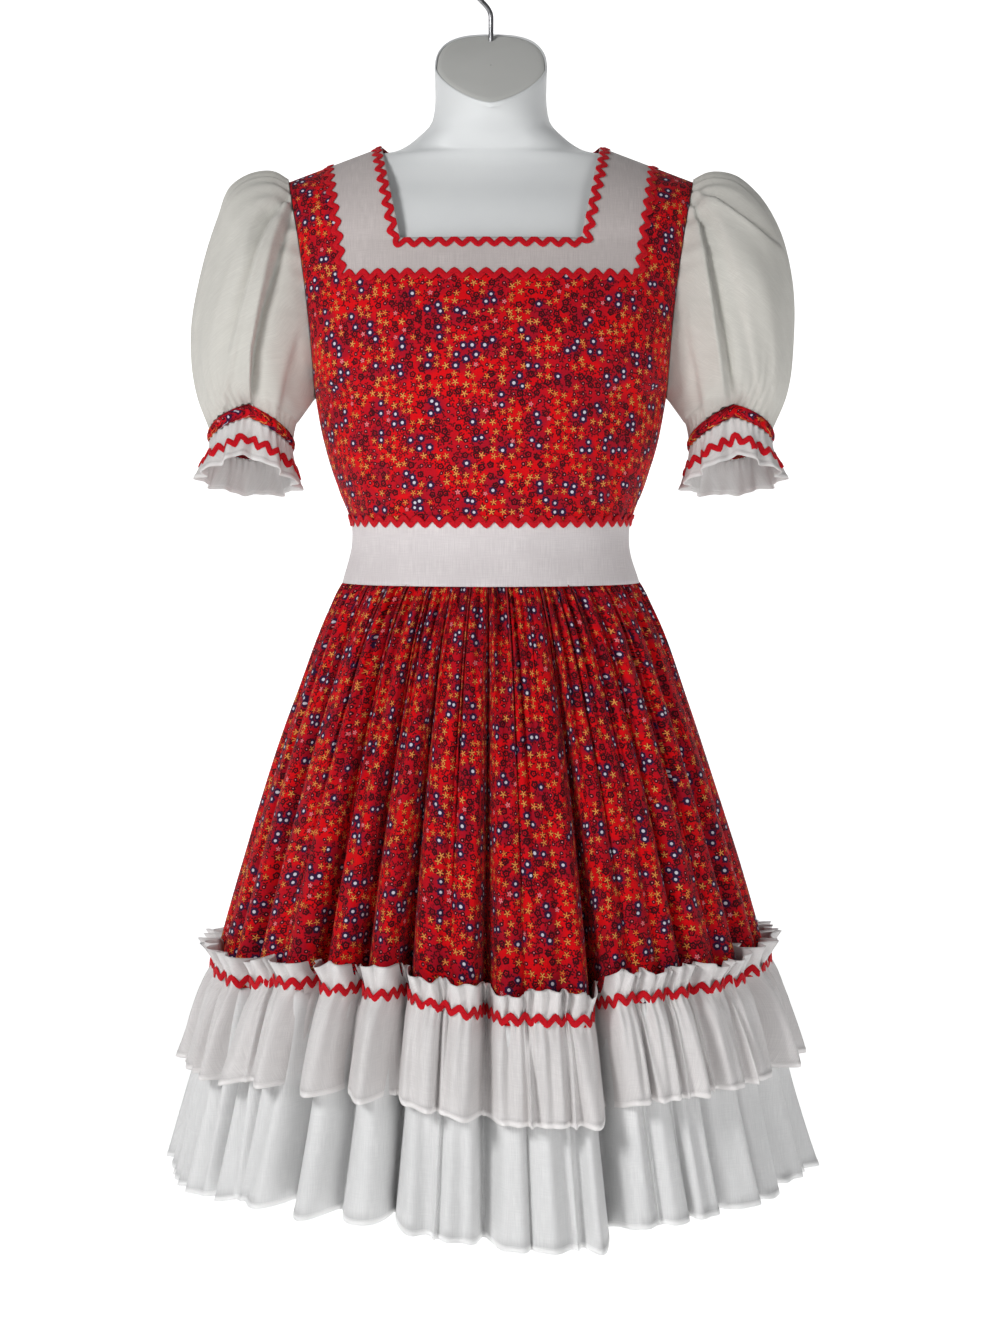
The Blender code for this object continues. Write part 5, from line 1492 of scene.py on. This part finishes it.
BRAID_CLEAR = 0.0056  # of the outline of the skirt, on the gathers of the upper ruffle
steady = hanging(
    UPPER_PER_RIDGE,
    [STITCH],
    [0.2575 + BRAID_CLEAR],
    [0.2262 + BRAID_CLEAR],
    [0.92 * (STITCH_DROP / SKIRT_DROP) ** 0.85],
    [0.62],
)[0][:-1]
tangent = np.roll(steady, -1, axis=0) - np.roll(steady, 1, axis=0)
off_skirt = np.stack([tangent[:, 1], -tangent[:, 0], 0 * tangent[:, 0]], axis=1)
off_skirt /= np.linalg.norm(off_skirt, axis=1, keepdims=True)
ruffle_braid = laid_braid("ruffle_braid", "ruffle_rickrack", steady, off_skirt, True, lift=0.0003)

braid_row = int(np.argmin(np.abs(cuff_down - 0.56)))
for side, rings, cuff in zip(
    ("right", "left"), (frill_rings, other_side(frill_rings)), cuff_ruffles
):
    path = rings[braid_row]
    hub = path.mean(axis=0)
    way = path - hub
    way[:, 2] = 0
    node = "cuff_rickrack_" + side
    laid_braid("cuff_braid_" + side, node, path, way, True, surface_of(cuff.data), 0.0004, 0.0135)

# Back zip: red tape with nylon teeth, sewn into the middle of the back from the neck to
# below the waist. Its metal slider stays at the top and carries a hinged pull tab.

ZIP_TOP, ZIP_FOOT = -0.2110, -0.7010


def back_middle(height):
    """How far the middle of the back stands behind the shoulder line."""
    if height >= BACK_BLADES:
        climb = min(1.0, (height - BACK_BLADES) / (BACK_NECK[1] - BACK_BLADES))
        return float(back_top_points(np.array([0.02]), climb)[0, 1])
    if height >= BAND_BOTTOM:
        return float(faired(GIRTHS[:, 0], GIRTHS[:, 3], height))
    return float(faired(FLARES[:, 0], FLARES[:, 2], BAND_BOTTOM - height))


tape_heights = np.linspace(ZIP_TOP, ZIP_FOOT, 120)
tape_out = np.array([back_middle(h) for h in tape_heights]) - 0.0006
tape_sides = np.array([0.0058, 0.0020, 0.0, -0.0020, -0.0058])
tape_grid = np.stack(np.broadcast_arrays(
    tape_sides[None, :], tape_out[:, None] - np.abs(tape_sides) * 0.12, tape_heights[:, None]
), axis=2).copy()
tape_tree, tape_shader, red_tape = finish("red_zip_tape", 0.7)
tape_place = on_cloth(tape_tree)
tape_weave, tape_up, _ = plain_weave(tape_place, 0.0006, 0.4)
tape_colour = tinted(eased(tape_up, 0.3, 0.7), (0.40, 0.006, 0.012, 1), (0.52, 0.012, 0.02, 1))
tape_tree.links.new(tape_colour, tape_shader.inputs[0])
relief(tape_shader, tape_weave, 0.00018)
tape_mesh = woven_mesh("zip_tape_red", tape_grid, laid_out(tape_grid, 2))
tape = with_wall(shown("zip_tape_red", tape_mesh, red_tape), 0.0008)

TOOTH_PITCH = 0.0014
# Corners of a tooth in halves of its size: across, up and outward
TOOTH = np.array([
    (-1, -1, -1), (1, -1, -1), (1, 1, -1), (-1, 1, -1), (-0.7, -0.6, 1), (0.7, -0.6, 1),
    (0.7, 0.6, 1), (-0.7, 0.6, 1),
])
TOOTH_FACES = ((0, 3, 2, 1), (4, 5, 6, 7), (0, 1, 5, 4), (1, 2, 6, 5), (2, 3, 7, 6), (3, 0, 4, 7))
spots, faces = [], []
for k, height in enumerate(np.arange(ZIP_TOP - 0.013, ZIP_FOOT + 0.004, -TOOTH_PITCH)):
    start = len(spots)
    out = back_middle(height) - 0.0006
    beside_middle = 0.0005 if k % 2 else -0.0005
    for x, z, y in TOOTH:
        spot = (x * 0.0011 + beside_middle, out + 0.0004 + 0.00055 * y, height + z * 0.00045)
        spots.append(np.array(spot) + SHOULDER_LINE)
    faces += [tuple(start + i for i in face[::-1]) for face in TOOTH_FACES]
teeth_mesh = bpy.data.meshes.new("zip_teeth")
teeth_mesh.from_pydata(spots, [], faces)
nylon_tree, nylon_shader, nylon = finish("red_nylon", 0.4)
nylon_place = in_piece(nylon_tree)
nylon_tone = tinted(grain(nylon_place, 200.0), (0.30, 0.004, 0.010, 1), (0.44, 0.008, 0.016, 1))
nylon_tree.links.new(nylon_tone, nylon_shader.inputs[0])
teeth = shown("zip_teeth", teeth_mesh, nylon)
for part in (tape, teeth):
    stands_for(part, "zip_strip")

zip_metal = bright_metal("satin_metal", (0.58, 0.57, 0.55, 1), 0.34, (300, 300, 3000))
for node in ("zip_slider", "zip_pull"):
    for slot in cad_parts[node].material_slots:
        slot.material = zip_metal

# Studio: a pale sweep of paper behind and below, soft light from the front and above, and
# a level camera at the height of the bust.

SWEEP = (-1.75, 3.6, 1.3)


def paper_sweep():
    """Floor and wall in one smooth curve."""
    floor, wall, bend = SWEEP
    turn = np.linspace(0, np.pi / 2, 20)
    profile = [(-7.0, floor), (0.0, floor)]
    profile += [(wall - bend + bend * math.sin(a), floor + bend - bend * math.cos(a)) for a in turn]
    profile += [(wall, 4.0)]
    across = np.linspace(-7, 7, 9)
    spots = [(x, y, z) for y, z in profile for x in across]
    faces = []
    for r in range(len(profile) - 1):
        for c in range(8):
            a = r * 9 + c
            faces.append((a, a + 1, a + 10, a + 9))
    mesh = bpy.data.meshes.new("paper_sweep")
    mesh.from_pydata(spots, [], faces)
    mesh.shade_smooth()
    return mesh


_, paper_shader, paper = finish("pale_paper", 0.9)
paper_shader.inputs["Base Color"].default_value = (0.86, 0.86, 0.86, 1)
paper_shader.inputs["Emission Color"].default_value = (1, 1, 1, 1)
paper_shader.inputs["Emission Strength"].default_value = 0.72
shown("paper_sweep", paper_sweep(), paper)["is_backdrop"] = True

world = bpy.data.worlds.new("studio")
world.use_nodes = True
world.node_tree.nodes["Background"].inputs[0].default_value = (0.95, 0.97, 1.0, 1)
world.node_tree.nodes["Background"].inputs[1].default_value = 0.10
bpy.context.scene.world = world


def soft_light(name, spot, aim, size, power):
    """A square soft light at a spot, turned to what it lights."""
    lamp = bpy.data.lights.new(name, "AREA")
    lamp.shape = "SQUARE"
    lamp.size = size
    lamp.energy = power
    holder = bpy.data.objects.new(name, lamp)
    holder.location = spot
    holder.rotation_euler = (Vector(aim) - Vector(spot)).to_track_quat("-Z", "Y").to_euler()
    bpy.context.scene.collection.objects.link(holder)


soft_light("key", (-1.9, -2.3, 0.7), (0, 0, -0.65), 0.8, 53.0)
soft_light("fill", (1.5, -2.9, -0.45), (0, 0, -0.80), 1.3, 19.5)

# One pixel of the photograph is 0.95 mm at the shoulders, from 2.6 m away
PIXEL, AWAY, EYE_LEVEL = 0.00095, 2.6, -0.495
PICTURE_HEIGHT, PICTURE_MIDDLE = 1333 * PIXEL, -0.6726
camera_data = bpy.data.cameras.new("camera")
camera_data.sensor_fit = "VERTICAL"
camera_data.angle_y = 2 * math.atan(PICTURE_HEIGHT / 2 / AWAY)
camera_data.shift_y = (PICTURE_MIDDLE - EYE_LEVEL) / PICTURE_HEIGHT
camera = bpy.data.objects.new("camera", camera_data)
camera.location = (0.00855, -AWAY, EYE_LEVEL)
camera.rotation_euler = (math.pi / 2, 0, 0)
bpy.context.scene.collection.objects.link(camera)
bpy.context.scene.camera = camera
bpy.context.scene.view_settings.view_transform = "Standard"

sizes = {"cad": [list(corner) for corner in solid_box], "visual": [list(corner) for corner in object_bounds()]}
